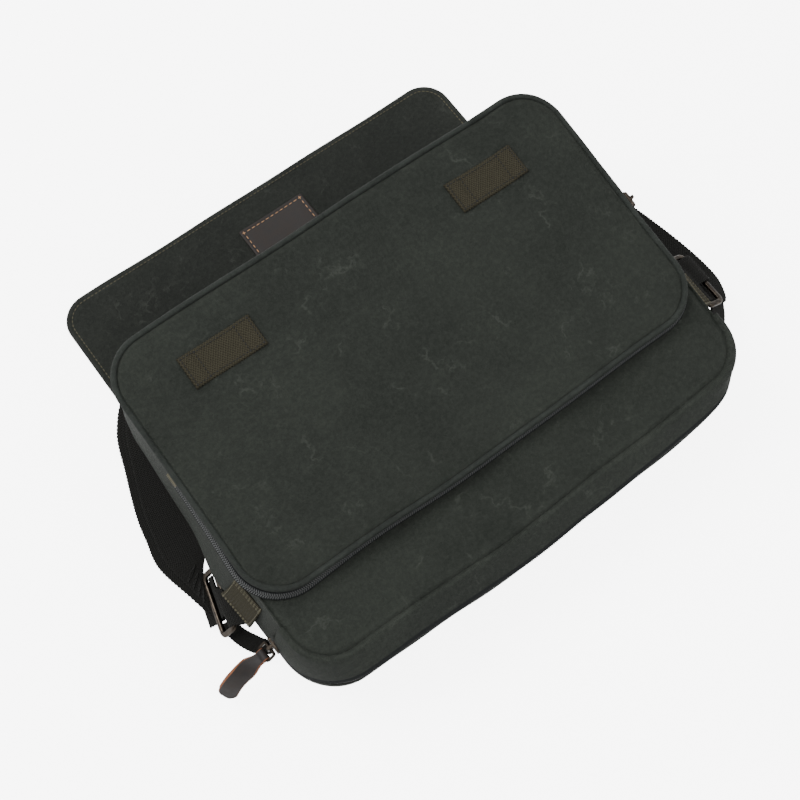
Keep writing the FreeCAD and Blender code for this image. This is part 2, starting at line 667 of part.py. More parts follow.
def slider(name, frame, inner_gap, bail_across):
    """Two plates joined by a post, with a bail; the outer plate's under side is at local Z 0."""
    plate = num("slider_plate")
    outline = ("slider_length", "slider_width", "slider_corner")
    top = rounded_pad(name + "_outer_plate", "slider_plate", outline, None, frame)
    low = rounded_pad(name + "_inner_plate", "slider_plate", outline, None,
                      frame.multiply(move(0, 0, -inner_gap - plate)))
    post = box(name + "_post", (4, 2.2, inner_gap + 1), frame.multiply(
        move(-2, -1.1, -inner_gap - 0.5)))
    bore = num("bail_bore")
    turn = about((0, 0, 1), 90 if bail_across else 0)
    bail_frame = frame.multiply(move(0, 0, plate, turn))
    block = rounded_pad(name + "_bail_block", derived(name + "_bail_height", "bail_bore * 2 + 1.4"),
                        (derived(name + "_bail_length", "bail_bore * 2 + 2.6"),
                         derived(name + "_bail_width", "2.4"),
                         derived(name + "_bail_corner", "0.6")),
                        None, bail_frame.multiply(move(0, 0, -0.2)))
    eye = cylinder(name + "_eye", "bail_bore", 8, bail_frame.multiply(
        move(0, 4, bore + 0.4, about((1, 0, 0), 90))))
    return cut(name, fuse(name + "_solid", top, low, post, block), eye)


def pull(prefix, frame):
    """A wire loop, a folded leather pull and its rivet; local Y is the pivot, X the length."""
    wire = num("loop_wire")
    outer = ("loop_length", "loop_width", "loop_corner")
    inner = ("loop_inner_length", "loop_inner_width", "loop_inner_corner")
    reach = num("loop_length") - wire
    loop = rounded_pad(prefix + "_pull_loop", "loop_wire", outer, inner,
                       frame.multiply(move(reach / 2, 0, 0)), midplane=True)
    keep(loop, prefix + "_pull_loop")
    body = rounded_pad(prefix + "_leather_blank", "pull_thickness",
                       ("pull_length", "pull_width", "pull_corner"), None,
                       frame.multiply(move(reach + 8 + num("pull_length") / 2, 0, 0)),
                       midplane=True)
    thick = num("pull_thickness")
    neck = box(prefix + "_leather_neck", (14, 8, "pull_thickness"),
               frame.multiply(move(reach, -4, -thick / 2)))
    fold, bore = tube(prefix + "_leather_fold", frame, reach, 0, 8, 2.3, 1.25)
    rivet_x = reach + 10
    hole = cylinder(prefix + "_rivet_hole", "rivet_radius", 10,
                    frame.multiply(move(rivet_x, 0, -5)))
    leather = cut(prefix + "_leather_pull", fuse(prefix + "_leather_solid", body, neck, fold),
                  bore, hole)
    keep(leather, prefix + "_leather_pull")
    rivet = cylinder(prefix + "_rivet", "rivet_radius", "rivet_length",
                     frame.multiply(move(rivet_x, 0, -num("rivet_length") / 2)))
    keep(rivet, prefix + "_rivet")


def axes(x_axis, y_axis, z_axis):
    return Rotation(Vector(*x_axis), Vector(*y_axis), Vector(*z_axis), "ZXY")


# mouth slider, on the left of the mouth: outward is -X, the zip runs along -Y there
outer_face = num("lip_centre_x") + num("chain_radius") + 0.7
turned = axes((0, -1, 0), (0, 0, 1), (-1, 0, 0))
main_frame = move(-outer_face, num("lip_centre_y"), 45, turned)
keep(slider("main_slider", main_frame, num("tape_thickness") + 1.7, True), "main_slider")
pivot_out = num("slider_plate") + num("bail_bore") + 0.4
slope = math.radians(43.7)
pull_turn = axes((-math.cos(slope), 0, -math.sin(slope)), (0, -1, 0),
                 (-math.sin(slope), 0, math.cos(slope)))
pull("main", move(-outer_face - pivot_out, num("lip_centre_y"), 45, pull_turn))

# pocket slider, at the right end of the closed pocket zip: outward is +X
side_face = num("pocket_wall_width") / 2 + 2.1 + 0.7
slope_v = math.radians(num("pocket_tilt"))
along = (0, math.cos(slope_v), math.sin(slope_v))
normal = (0, -math.sin(slope_v), math.cos(slope_v))
zip_n = -num("piping") / 2 - 6.4 + num("pocket_zip_height") / 2
pocket_spot = POCKET.multiply(move(side_face, 88, zip_n))
pocket_turn = axes(along, normal, (1, 0, 0))
pocket_frame = Placement(pocket_spot.Base, pocket_turn)
top_plate = rounded_pad("pocket_slider_plate", "slider_plate",
                        ("slider_length", "slider_width", "slider_corner"), None, pocket_frame)
bail_base = pocket_frame.multiply(move(0, 0, num("slider_plate"), about((0, 0, 1), 90)))
bail_block = rounded_pad("pocket_slider_block", derived("pocket_bail_height", "bail_bore * 2 + 1.4"),
                         (derived("pocket_bail_length", "bail_bore * 2 + 2.6"),
                          derived("pocket_bail_width", "2.4"),
                          derived("pocket_bail_corner", "0.6")),
                         None, bail_base.multiply(move(0, 0, -0.2)))
bail_eye = cylinder("pocket_slider_eye", "bail_bore", 8, bail_base.multiply(
    move(0, 4, num("bail_bore") + 0.4, about((1, 0, 0), 90))))
pocket_slider = cut("pocket_slider", fuse("pocket_slider_solid", top_plate, bail_block), bail_eye)
keep(pocket_slider, "pocket_slider")
pull_place = pocket_frame.multiply(move(0, 0, pivot_out))
hanging = axes((0, math.sin(slope_v), -math.cos(slope_v)), along, (1, 0, 0))
pull("pocket", Placement(pull_place.Base, hanging))

# ---- checks and export ------------------------------------------------------------------------------
doc.recompute()
os.makedirs("parts", exist_ok=True)
for obj in doc.Objects:
    bad = [state for state in obj.State if state in ("Invalid", "Error")]
    if bad:
        raise RuntimeError("%s is %s" % (obj.Label, bad))
box_all = FreeCAD.BoundBox()
for obj in nodes:
    shape = obj.Shape
    if shape.isNull() or not shape.isValid():
        raise RuntimeError(obj.Label + " has no valid shape")
    if len(shape.Solids) != 1 or shape.Volume < 1:
        raise RuntimeError("%s has %d solids" % (obj.Label, len(shape.Solids)))
    box_all.add(shape.BoundBox)
    shape.exportStep(os.path.join("parts", obj.Label + ".step"))
print(len(nodes), "nodes, box", box_all)
centre_x = (box_all.XMin + box_all.XMax) / 2
centre_y = (box_all.YMin + box_all.YMax) / 2
print("centre %.3f %.3f floor %.3f" % (centre_x, centre_y, box_all.ZMin))
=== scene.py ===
import json
import math

import bpy
import numpy as np
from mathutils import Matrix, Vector


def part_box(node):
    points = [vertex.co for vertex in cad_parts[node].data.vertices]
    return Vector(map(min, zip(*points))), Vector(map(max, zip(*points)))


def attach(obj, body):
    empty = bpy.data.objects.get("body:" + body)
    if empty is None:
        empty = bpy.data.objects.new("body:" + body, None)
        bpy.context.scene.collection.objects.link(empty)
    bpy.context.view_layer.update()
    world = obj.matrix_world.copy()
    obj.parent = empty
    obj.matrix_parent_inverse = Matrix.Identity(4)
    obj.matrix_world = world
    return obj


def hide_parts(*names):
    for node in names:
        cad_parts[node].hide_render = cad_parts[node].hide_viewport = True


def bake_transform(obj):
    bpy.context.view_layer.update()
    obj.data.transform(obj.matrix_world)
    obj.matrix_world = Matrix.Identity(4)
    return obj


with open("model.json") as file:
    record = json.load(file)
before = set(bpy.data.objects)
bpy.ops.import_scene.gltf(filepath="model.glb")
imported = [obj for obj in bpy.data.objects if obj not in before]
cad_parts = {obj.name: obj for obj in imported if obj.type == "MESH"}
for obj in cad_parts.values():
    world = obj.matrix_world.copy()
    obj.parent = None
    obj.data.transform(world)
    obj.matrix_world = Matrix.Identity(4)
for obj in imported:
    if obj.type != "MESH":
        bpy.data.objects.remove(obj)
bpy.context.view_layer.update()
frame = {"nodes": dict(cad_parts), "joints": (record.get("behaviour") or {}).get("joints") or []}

JOINTS = {joint["name"]: joint for joint in frame["joints"]}

# The bag is built in its own millimetres, where the flap's root hinge is at ROOT_HINGE, and
# moved into the record's frame when a mesh is made.
ROOT_HINGE = (0.0, -117.0, 1.0)
SHIFT = np.round(1000 * np.array(JOINTS["flap_root_hinge"]["pos_m"]) - ROOT_HINGE, 3)
FRONT_TILT = math.radians(5.9)
POCKET_TILT = math.radians(10.6)
FRONT_Y, FRONT_Z = -124.4, 69.0
POCKET_Y, POCKET_Z = -75.5, 82.0
BODY_W, BODY_L, BODY_R = 361.0, 242.4, 30.0
BODY_CX, BODY_CY = 2.3, -3.2
POCKET_W, POCKET_L, POCKET_R = 364.0, 196.0, 33.0
SECTION_STEPS = 34  # points down one section of the body's side
TAB_WIDTH, RING_PITCH = 30.0, 15.0


# ---- numbers -----------------------------------------------------------------


def joint_point(name):
    """A joint's place in bag millimetres, to the micrometre."""
    return np.round(1000 * np.array(JOINTS[name]["pos_m"]) - SHIFT, 3)


def node_box(name):
    """A CAD node's lowest and highest corners in bag millimetres, to the micrometre."""
    return np.round(1000 * np.array(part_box(name)) - SHIFT, 3)


def ease(a, b, x):
    t = np.clip((np.asarray(x, float) - a) / (b - a), 0, 1)
    return t * t * (3 - 2 * t)


def bell(x, middle, width):
    return np.exp(-(((np.asarray(x, float) - middle) / width) ** 2))


def waves(x, y, seed, length, terms=7):
    """A smooth random field of about -1 to 1."""
    rng = np.random.default_rng(seed)
    total = 0.0
    for _ in range(terms):
        angle = rng.uniform(0, 2 * math.pi)
        k = 2 * math.pi / (length * rng.uniform(0.7, 1.7))
        phase = rng.uniform(0, 2 * math.pi)
        total = total + np.sin(k * (x * math.cos(angle) + y * math.sin(angle)) + phase)
    return total / (0.75 * terms)


def unit(v):
    return v / np.maximum(np.linalg.norm(v, axis=-1, keepdims=True), 1e-9)


def spline(points, count, closed=False):
    """Catmull-Rom through points, given in any number of columns; count samples."""
    p = np.asarray(points, float)
    if closed:
        p = np.vstack([p[-1], p, p[0], p[1]])
    else:
        p = np.vstack([2 * p[0] - p[1], p, 2 * p[-1] - p[-2]])
    spans = len(p) - 3
    t = np.linspace(0, spans, count, endpoint=not closed)
    i = np.minimum(t.astype(int), spans - 1)
    f = (t - i)[:, None]
    a, b, c, d = p[i], p[i + 1], p[i + 2], p[i + 3]
    return 0.5 * (
        2 * b + (c - a) * f + (2 * a - 5 * b + 4 * c - d) * f**2
        + (3 * b - 3 * c + d - a) * f**3
    )


def resample(points, step, columns=3):
    """Points along a line at even spacing; extra columns are carried along."""
    p = np.asarray(points, float)
    gaps = np.linalg.norm(np.diff(p[:, :columns], axis=0), axis=1)
    s = np.concatenate([[0], np.cumsum(gaps)])
    count = max(2, int(round(s[-1] / step)) + 1)
    at = np.linspace(0, s[-1], count)
    return np.stack([np.interp(at, s, p[:, k]) for k in range(p.shape[1])], 1)


def tangents(p):
    return unit(np.gradient(p, axis=0))


# ---- meshes ------------------------------------------------------------------


def grid_faces(nu, nv, wrap_u=False, wrap_v=False, start=0, flip=False):
    i, j = np.meshgrid(
        np.arange(nu if wrap_u else nu - 1), np.arange(nv if wrap_v else nv - 1), indexing="ij"
    )
    i2, j2 = (i + 1) % nu, (j + 1) % nv
    quads = np.stack([i * nv + j, i2 * nv + j, i2 * nv + j2, i * nv + j2], -1).reshape(-1, 4)
    if flip:
        quads = quads[:, ::-1]
    return quads + start


def add_mesh(name, verts, faces, materials, body="bag", uv=None, edge=None, part=None):
    """One visible piece. uv is in millimetres, edge says how worn a place is, part picks
    a material for each face."""
    mesh = bpy.data.meshes.new(name)
    co = (np.asarray(verts, float).reshape(-1, 3) + SHIFT) / 1000
    mesh.from_pydata(co.tolist(), [], [list(map(int, f)) for f in faces])
    mesh.polygons.foreach_set("use_smooth", [True] * len(mesh.polygons))
    if uv is not None:
        layer = mesh.uv_layers.new(name="cloth")
        loops = np.zeros(len(mesh.loops), int)
        mesh.loops.foreach_get("vertex_index", loops)
        layer.data.foreach_set("uv", np.asarray(uv, float).reshape(-1, 2)[loops].ravel())
    wear = np.zeros(len(co)) if edge is None else np.asarray(edge, float).ravel()
    mesh.attributes.new("wear", "FLOAT", "POINT").data.foreach_set("value", wear)
    for material in materials if isinstance(materials, list) else [materials]:
        mesh.materials.append(material)
    if part is not None:
        mesh.polygons.foreach_set("material_index", np.asarray(part, int))
    mesh.update()
    obj = bpy.data.objects.new(name, mesh)
    bpy.context.scene.collection.objects.link(obj)
    if body:
        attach(obj, body)
    return obj


def surface(name, p, material, flip=False, uv=None, edge=None, body="bag",
            wrap_u=False, wrap_v=False):
    """A single skin from a grid of points."""
    nu, nv = p.shape[:2]
    faces = grid_faces(nu, nv, wrap_u, wrap_v, flip=flip)
    return add_mesh(name, p, faces, material, body, uv, edge)


def normals(p):
    n = np.cross(np.gradient(p, axis=0), np.gradient(p, axis=1))
    return unit(n)


def closed(outer, inner, flip=False):
    """Points and faces of the solid between two grids, with the number of faces in its rim."""
    nu, nv = outer.shape[:2]
    count = nu * nv
    index = np.arange(count).reshape(nu, nv)
    rim = np.concatenate([index[:, 0], index[-1, 1:], index[-2::-1, -1], index[0, -2:0:-1]])
    nxt = np.roll(rim, -1)
    side = np.stack([rim, nxt, nxt + count, rim + count], 1)
    faces = np.concatenate([grid_faces(nu, nv, flip=flip),
                            grid_faces(nu, nv, start=count, flip=not flip),
                            side if flip else side[:, ::-1]])
    return np.concatenate([outer.reshape(-1, 3), inner.reshape(-1, 3)]), faces, len(rim)


def shell(name, p, thickness, materials, flip=False, uv=None, edge=None, body="bag",
          keep=False):
    """A closed skin of some thickness: p is its outer side and the rest lies behind it."""
    n = normals(p) * (-1 if flip else 1)
    verts, faces, rim_count = closed(p, p - n * thickness, flip)
    twice = None if uv is None else np.concatenate([np.reshape(uv, (-1, 2))] * 2)
    worn = None if edge is None else np.concatenate([np.ravel(edge)] * 2)
    part = None
    if isinstance(materials, list):
        part = np.zeros(len(faces), int)
        part[-rim_count:] = 1
    return add_mesh(name, verts, faces, materials, None if keep else body, twice, worn,
                    part)


def rounded_profile(width, thickness, across=20, round_steps=4):
    """A flat band's closed cross-section: columns are across and up, and a side flag."""
    h = thickness / 2
    half = width / 2 - h
    top = [(x, h, 0) for x in np.linspace(-half, half, across)]
    right = [(half + h * math.sin(a), h * math.cos(a), 1)
             for a in np.linspace(0, math.pi, round_steps + 2)[1:-1]]
    low = [(x, -h, 0) for x in np.linspace(half, -half, across)]
    left = [(-half - h * math.sin(a), -h * math.cos(a), 1)
            for a in np.linspace(0, math.pi, round_steps + 2)[1:-1]]
    return np.array(top + right + low + left)


def ribbon(name, path, wide, width, thickness, materials, body="bag", ribs=0.0,
           rib_pitch=1.7, selvedge=0.0, widths=None, across=20, keep=False, skewed=False):
    """A band swept along path; wide is the direction across it at each point."""
    t = tangents(path)
    w = unit(wide if skewed else wide - t * (wide * t).sum(1, keepdims=True))
    n = unit(np.cross(t, w))
    s = np.concatenate([[0], np.cumsum(np.linalg.norm(np.diff(path, axis=0), axis=1))])
    profile = rounded_profile(width, thickness, across)
    scale = np.ones(len(path)) if widths is None else np.asarray(widths) / width
    a = profile[None, :, 0] * scale[:, None]
    b = np.repeat(profile[None, :, 1], len(path), 0)
    if ribs:
        wave = np.sin(2 * math.pi * s / rib_pitch)[:, None]
        b = b + ribs * wave * np.sign(b) * (np.abs(profile[None, :, 0]) < width / 2 - 1.2)
    if selvedge:
        bump = 0.5 + 0.5 * np.sin(2 * math.pi * s / 2.3)[:, None]
        rim = ease(width / 2 - 2.2, width / 2 - 0.6, np.abs(profile[None, :, 0]))
        a = a + np.sign(a) * selvedge * bump * rim
        b = b + np.sign(b) * 0.5 * selvedge * rim
    p = path[:, None] + w[:, None] * a[..., None] + n[:, None] * b[..., None]
    count, ring = p.shape[:2]
    verts = np.concatenate([p.reshape(-1, 3), p[:1].mean(1), p[-1:].mean(1)])
    body_faces = grid_faces(count, ring, wrap_v=True, flip=True).tolist()
    first, last = count * ring, count * ring + 1
    k = np.arange(ring)
    nxt = (k + 1) % ring
    caps = [[first, int(x), int(y)] for x, y in zip(k, nxt)]
    caps += [[last, int((count - 1) * ring + y), int((count - 1) * ring + x)]
             for x, y in zip(k, nxt)]
    uv = np.stack(np.broadcast_arrays(s[:, None], profile[None, :, 0]), -1).reshape(-1, 2)
    uv = np.concatenate([uv, [[0, 0], [s[-1], 0]]])
    part = None
    if isinstance(materials, list):
        flags = (profile[:, 2] + np.roll(profile[:, 2], -1)) > 0
        part = np.concatenate([np.tile(flags, count - 1), np.ones(len(caps))]).astype(int)
    return add_mesh(name, verts, body_faces + caps, materials, None if keep else body,
                    uv, None, part)


def link_shape(rings=4, around=8):
    rows = []
    for i in range(1, rings + 1):
        a = math.pi * i / (rings + 1)
        x = -math.cos(a)
        r = math.sin(a) ** 0.7
        for k in range(around):
            q = 2 * math.pi * k / around
            rows.append((x, r * math.cos(q), r * math.sin(q)))
    verts = np.array(rows + [(-1, 0, 0), (1, 0, 0)])
    faces = grid_faces(rings, around, wrap_v=True, flip=True).tolist()
    low, high = rings * around, rings * around + 1
    for k in range(around):
        k2 = (k + 1) % around
        faces.append([low, k2, k])
        faces.append([high, (rings - 1) * around + k, (rings - 1) * around + k2])
    return verts, faces


def links(name, p, t, n, length, width, height, material, body="bag", keep=False):
    """Small rounded beads, one at each point: stitches or the turns of a zip coil."""
    base, faces = link_shape()
    t = unit(t)
    n = unit(n - t * (n * t).sum(1, keepdims=True))
    b = np.cross(n, t)
    v = (
        p[:, None]
        + t[:, None] * base[None, :, :1] * length / 2
        + b[:, None] * base[None, :, 1:2] * width / 2
        + n[:, None] * base[None, :, 2:] * height / 2
    )
    count = len(base)
    every = [[i + k * count for i in f] for k in range(len(p)) for f in faces]
    return add_mesh(name, v.reshape(-1, 3), every, material, None if keep else body)


def stitch_line(name, line, up, material, body="bag", pitch=3.4, length=2.5, keep=False):
    """A row of stitches along a line; up is the outward direction."""
    p = resample(line, pitch)
    t = tangents(p)
    n = np.broadcast_to(np.asarray(up, float), p.shape) if np.ndim(up) == 1 else up
    if len(n) != len(p):
        grown = np.linspace(0, len(n) - 1, len(p))
        n = np.stack([np.interp(grown, np.arange(len(n)), n[:, k]) for k in range(3)], 1)
    return links(name, p, t, np.array(n), length, 0.75, 0.5, material, body, keep)


def join(name, objs):
    """Several small meshes made into one piece."""
    bpy.ops.object.select_all(action="DESELECT")
    for o in objs:
        o.select_set(True)
    bpy.context.view_layer.objects.active = objs[0]
    bpy.ops.object.join()
    objs[0].name = name
    objs[0].data.name = name
    return objs[0]


def graded(half, fine, coarse, band):
    """Positions from -half to half, closer together near both ends."""
    near = np.arange(0, band, fine)
    middle = np.linspace(band, 2 * half - band, max(2, int((2 * half - 2 * band) / coarse)))
    far = 2 * half - near[::-1]
    return np.concatenate([near, middle, far]) - half


def rounded_grid(width, length, radius, fine=0.9, coarse=3.0, band=9.0):
    """A grid over a rounded rectangle about the origin, and each point's distance in."""
    x, y = np.meshgrid(
        graded(width / 2, fine, coarse, band), graded(length / 2, fine, coarse, band),
        indexing="ij",
    )
    cx, cy = width / 2 - radius, length / 2 - radius
    a = np.clip((np.abs(x) - cx) / radius, 0, 1)
    b = np.clip((np.abs(y) - cy) / radius, 0, 1)
    gx = np.where(a > 0, cx + radius * a * np.sqrt(1 - b * b / 2), np.abs(x)) * np.sign(x)
    gy = np.where(b > 0, cy + radius * b * np.sqrt(1 - a * a / 2), np.abs(y)) * np.sign(y)
    inside = np.minimum(width / 2 - np.abs(gx), length / 2 - np.abs(gy))
    corner = radius - np.hypot(np.maximum(np.abs(gx) - cx, 0), np.maximum(np.abs(gy) - cy, 0))
    d = np.where((np.abs(gx) > cx) & (np.abs(gy) > cy), corner, inside)
    return gx, gy, np.maximum(d, 0)


def rounded_outline(s, width, length, radius):
    """Points and outward normals round a rounded rectangle about the origin. s is in
    millimetres from the middle of the +Y side, going to -X first."""
    hw, hl = width / 2 - radius, length / 2 - radius
    arc = math.pi / 2 * radius
    stops = np.cumsum([0, hw, arc, 2 * hl, arc, 2 * hw, arc, 2 * hl, arc, hw])
    s = np.mod(s, stops[-1])
    x, y = np.zeros_like(s), np.zeros_like(s)
    nx, ny = np.zeros_like(s), np.zeros_like(s)
    k = np.clip(np.searchsorted(stops, s, side="right") - 1, 0, 8)
    f = s - stops[k]
    w, l, r = width / 2, length / 2, radius
    for piece, (px, py, ux, uy, mx, my) in {
        0: (0, l, -1, 0, 0, 1), 2: (-w, hl, 0, -1, -1, 0), 4: (-hw, -l, 1, 0, 0, -1),
        6: (w, -hl, 0, 1, 1, 0), 8: (hw, l, -1, 0, 0, 1),
    }.items():
        m = k == piece
        x[m], y[m] = px + ux * f[m], py + uy * f[m]
        nx[m], ny[m] = mx, my
    for piece, (cx, cy, start) in {
        1: (-hw, hl, 90), 3: (-hw, -hl, 180), 5: (hw, -hl, 270), 7: (hw, hl, 0),
    }.items():
        m = k == piece
        a = np.radians(start) + f[m] / r
        nx[m], ny[m] = np.cos(a), np.sin(a)
        x[m], y[m] = cx + r * nx[m], cy + r * ny[m]
    return np.stack([x, y], 1), np.stack([nx, ny], 1), stops


# ---- materials ---------------------------------------------------------------


def shader(name, colour, roughness, metallic=0.0, specular=0.3):
    m = bpy.data.materials.new(name)
    m.use_nodes = True
    b = m.node_tree.nodes["Principled BSDF"]
    b.inputs["Base Color"].default_value = (*colour, 1)
    b.inputs["Roughness"].default_value = roughness
    b.inputs["Metallic"].default_value = metallic
    b.inputs["Specular IOR Level"].default_value = specular
    return m, m.node_tree, b


def new_node(tree, kind, **settings):
    node = tree.nodes.new(kind)
    for key, value in settings.items():
        if key in node.inputs:
            node.inputs[key].default_value = value
        else:
            setattr(node, key, value)
    return node


def noise(tree, vector, scale, detail=3.0, roughness=0.55):
    node = new_node(tree, "ShaderNodeTexNoise", Scale=scale, Detail=detail, Roughness=roughness)
    tree.links.new(vector, node.inputs["Vector"])
    return node.outputs["Fac"]


def math_node(tree, operation, a, b):
    node = new_node(tree, "ShaderNodeMath", operation=operation)
    for socket, value in zip(node.inputs, (a, b)):
        if isinstance(value, (int, float)):
            socket.default_value = value
        else:
            tree.links.new(value, socket)
    return node.outputs[0]


def ramp(tree, factor, low, high, a=0.0, b=1.0):
    node = new_node(tree, "ShaderNodeMapRange")
    node.inputs["From Min"].default_value = low
    node.inputs["From Max"].default_value = high
    node.inputs["To Min"].default_value = a
    node.inputs["To Max"].default_value = b
    tree.links.new(factor, node.inputs["Value"])
    return node.outputs["Result"]


def mixed(tree, factor, a, b):
    node = new_node(tree, "ShaderNodeMix", data_type="RGBA")
    if isinstance(factor, float):
        node.inputs[0].default_value = factor
    else:
        tree.links.new(factor, node.inputs[0])
    for socket, value in ((node.inputs[6], a), (node.inputs[7], b)):
        if isinstance(value, tuple):
            socket.default_value = (*value, 1)
        else:
            tree.links.new(value, socket)
    return node.outputs[2]


def bump(tree, shader_node, height, strength, distance):
    node = new_node(tree, "ShaderNodeBump", Strength=strength, Distance=distance)
    tree.links.new(height, node.inputs["Height"])
    tree.links.new(node.outputs[0], shader_node.inputs["Normal"])


def weave(tree, pitch):
    """Threads over and under, from the piece's own cloth coordinates."""
    uv = new_node(tree, "ShaderNodeUVMap", uv_map="cloth")
    split = new_node(tree, "ShaderNodeSeparateXYZ")
    tree.links.new(uv.outputs[0], split.inputs[0])
    k = 2 * math.pi / pitch
    u = math_node(tree, "SINE", math_node(tree, "MULTIPLY", split.outputs[0], k), 0)
    v = math_node(tree, "SINE", math_node(tree, "MULTIPLY", split.outputs[1], k), 0)
    return math_node(tree, "MULTIPLY", u, v)


def canvas_material(name, dark, light, worn):
    """Waxed canvas: clouds of tone, a coarse speckle of threads, creases and worn edges."""
    m, tree, b = shader(name, dark, 0.74, specular=0.16)
    place = new_node(tree, "ShaderNodeTexCoord").outputs["Object"]
    threads = weave(tree, 1.15)
    grain = noise(tree, place, 950, 3, 0.75)
    speckle = noise(tree, place, 330, 4, 0.7)
    cloud = noise(tree, place, 11, 6, 0.62)
    scuff = noise(tree, place, 45, 9, 0.72)
    crease = noise(tree, place, 24, 7, 0.55)
    crease = math_node(tree, "ABSOLUTE", math_node(tree, "SUBTRACT", crease, 0.5), 0)
    shade = math_node(tree, "ADD", ramp(tree, cloud, 0.38, 0.62, 0, 0.45),
                      ramp(tree, grain, 0.36, 0.66, 0, 0.35))
    shade = math_node(tree, "ADD", shade, ramp(tree, speckle, 0.42, 0.62, 0, 0.4))
    colour = mixed(tree, shade, dark, light)
    wear = new_node(tree, "ShaderNodeAttribute", attribute_name="wear").outputs["Fac"]
    patchy = math_node(tree, "MULTIPLY", ramp(tree, scuff, 0.42, 0.7, 0.1, 0.8), wear)
    marks = math_node(tree, "MULTIPLY", ramp(tree, crease, 0.0, 0.016, 0.5, 0.0),
                      ramp(tree, scuff, 0.5, 0.62, 0, 1))
    marks = math_node(tree, "MAXIMUM", marks, ramp(tree, scuff, 0.63, 0.78, 0, 0.35))
    colour = mixed(tree, math_node(tree, "MAXIMUM", patchy, marks), colour, worn)
    tree.links.new(colour, b.inputs["Base Color"])
    tree.links.new(ramp(tree, cloud, 0.3, 0.7, 0.6, 0.78), b.inputs["Roughness"])
    height = math_node(tree, "ADD", math_node(tree, "MULTIPLY", threads, 0.5),
                       math_node(tree, "MULTIPLY", grain, 1.6))
    height = math_node(tree, "ADD", height, math_node(tree, "MULTIPLY", speckle, 2.0))
    height = math_node(tree, "ADD", height, math_node(tree, "MULTIPLY", scuff, 5.0))
    height = math_node(tree, "ADD", height, math_node(tree, "MULTIPLY", cloud, 9.0))
    bump(tree, b, height, 0.9, 0.0005)
    return m


def webbing_material(name, dark, light, pitch=1.7):
    m, tree, b = shader(name, dark, 0.85, specular=0.14)
    place = new_node(tree, "ShaderNodeTexCoord").outputs["Object"]
    uv = new_node(tree, "ShaderNodeUVMap", uv_map="cloth")
    split = new_node(tree, "ShaderNodeSeparateXYZ")
    tree.links.new(uv.outputs[0], split.inputs[0])
    u, v = split.outputs[0], split.outputs[1]
    k = 2 * math.pi / pitch
    row = math_node(tree, "SINE", math_node(tree, "MULTIPLY", u, k), 0)
    column = math_node(tree, "SINE", math_node(tree, "MULTIPLY", v, k * 0.75), 0)
    threads = math_node(tree, "MULTIPLY", row, column)
    grain = noise(tree, place, 1200, 3, 0.7)
    shade = math_node(tree, "ADD", ramp(tree, threads, -1, 1, 0, 0.7),
                      ramp(tree, grain, 0.3, 0.7, 0, 0.4))
    tree.links.new(mixed(tree, shade, dark, light), b.inputs["Base Color"])
    height = math_node(tree, "ADD", threads, math_node(tree, "MULTIPLY", grain, 0.8))
    bump(tree, b, height, 0.8, 0.00035)
    return m


def leather_material(name, dark, light, roughness=0.5):
    m, tree, b = shader(name, dark, roughness, specular=0.35)
    place = new_node(tree, "ShaderNodeTexCoord").outputs["Object"]
    grain = noise(tree, place, 700, 6, 0.7)
    cloud = noise(tree, place, 90, 5, 0.6)
    tree.links.new(mixed(tree, ramp(tree, cloud, 0.35, 0.72), dark, light),
                   b.inputs["Base Color"])
    tree.links.new(ramp(tree, cloud, 0.3, 0.7, roughness - 0.08, roughness + 0.15),
                   b.inputs["Roughness"])
    bump(tree, b, grain, 0.35, 0.0003)
    return m


def metal_material(name, dark, light, roughness):
    m, tree, b = shader(name, dark, roughness, metallic=1.0, specular=0.5)
    place = new_node(tree, "ShaderNodeTexCoord").outputs["Object"]
    cloud = noise(tree, place, 260, 4, 0.6)
    tree.links.new(mixed(tree, ramp(tree, cloud, 0.35, 0.7), dark, light),
                   b.inputs["Base Color"])
    tree.links.new(ramp(tree, cloud, 0.3, 0.7, roughness - 0.07, roughness + 0.1),
                   b.inputs["Roughness"])
    return m


CANVAS = canvas_material("canvas", (0.0115, 0.0140, 0.0112), (0.0260, 0.0300, 0.0245),
                         (0.054, 0.060, 0.051))
FLAP = canvas_material("flap_canvas", (0.0100, 0.0118, 0.0098), (0.0225, 0.0250, 0.0212),
                       (0.046, 0.050, 0.043))
PIPING = canvas_material("piping", (0.0115, 0.0140, 0.0118), (0.0260, 0.0300, 0.0258),
                         (0.052, 0.060, 0.054))
LINING = canvas_material("lining", (0.005, 0.0055, 0.0055), (0.010, 0.011, 0.011),
                         (0.018, 0.018, 0.018))
TAPE = webbing_material("zip_tape", (0.007, 0.008, 0.008), (0.016, 0.018, 0.018), 0.9)
OLIVE = webbing_material("olive_webbing", (0.010, 0.009, 0.0055), (0.042, 0.038, 0.024), 1.9)
STRAP = webbing_material("strap_webbing", (0.0035, 0.0036, 0.0032), (0.015, 0.015, 0.0135), 1.7)
LEATHER = leather_material("leather", (0.007, 0.005, 0.0045), (0.020, 0.0145, 0.012), 0.6)
RAW_EDGE = leather_material("leather_edge", (0.15, 0.045, 0.016), (0.24, 0.095, 0.04), 0.7)
METAL = metal_material("dark_metal", (0.030, 0.025, 0.021), (0.085, 0.070, 0.055), 0.3)
STEEL = metal_material("magnet", (0.4, 0.4, 0.4), (0.5, 0.5, 0.5), 0.35)
BRASS = metal_material("brass", (0.26, 0.16, 0.06), (0.42, 0.29, 0.12), 0.32)
COIL = shader("zip_coil", (0.06, 0.062, 0.062), 0.42, specular=0.4)[0]
BOARD = shader("board", (0.03, 0.03, 0.03), 0.6)[0]
KHAKI = shader("khaki_thread", (0.075, 0.068, 0.042), 0.7)[0]
PALE = shader("pale_thread", (0.12, 0.105, 0.065), 0.7)[0]
ORANGE = shader("orange_thread", (0.34, 0.19, 0.10), 0.7)[0]
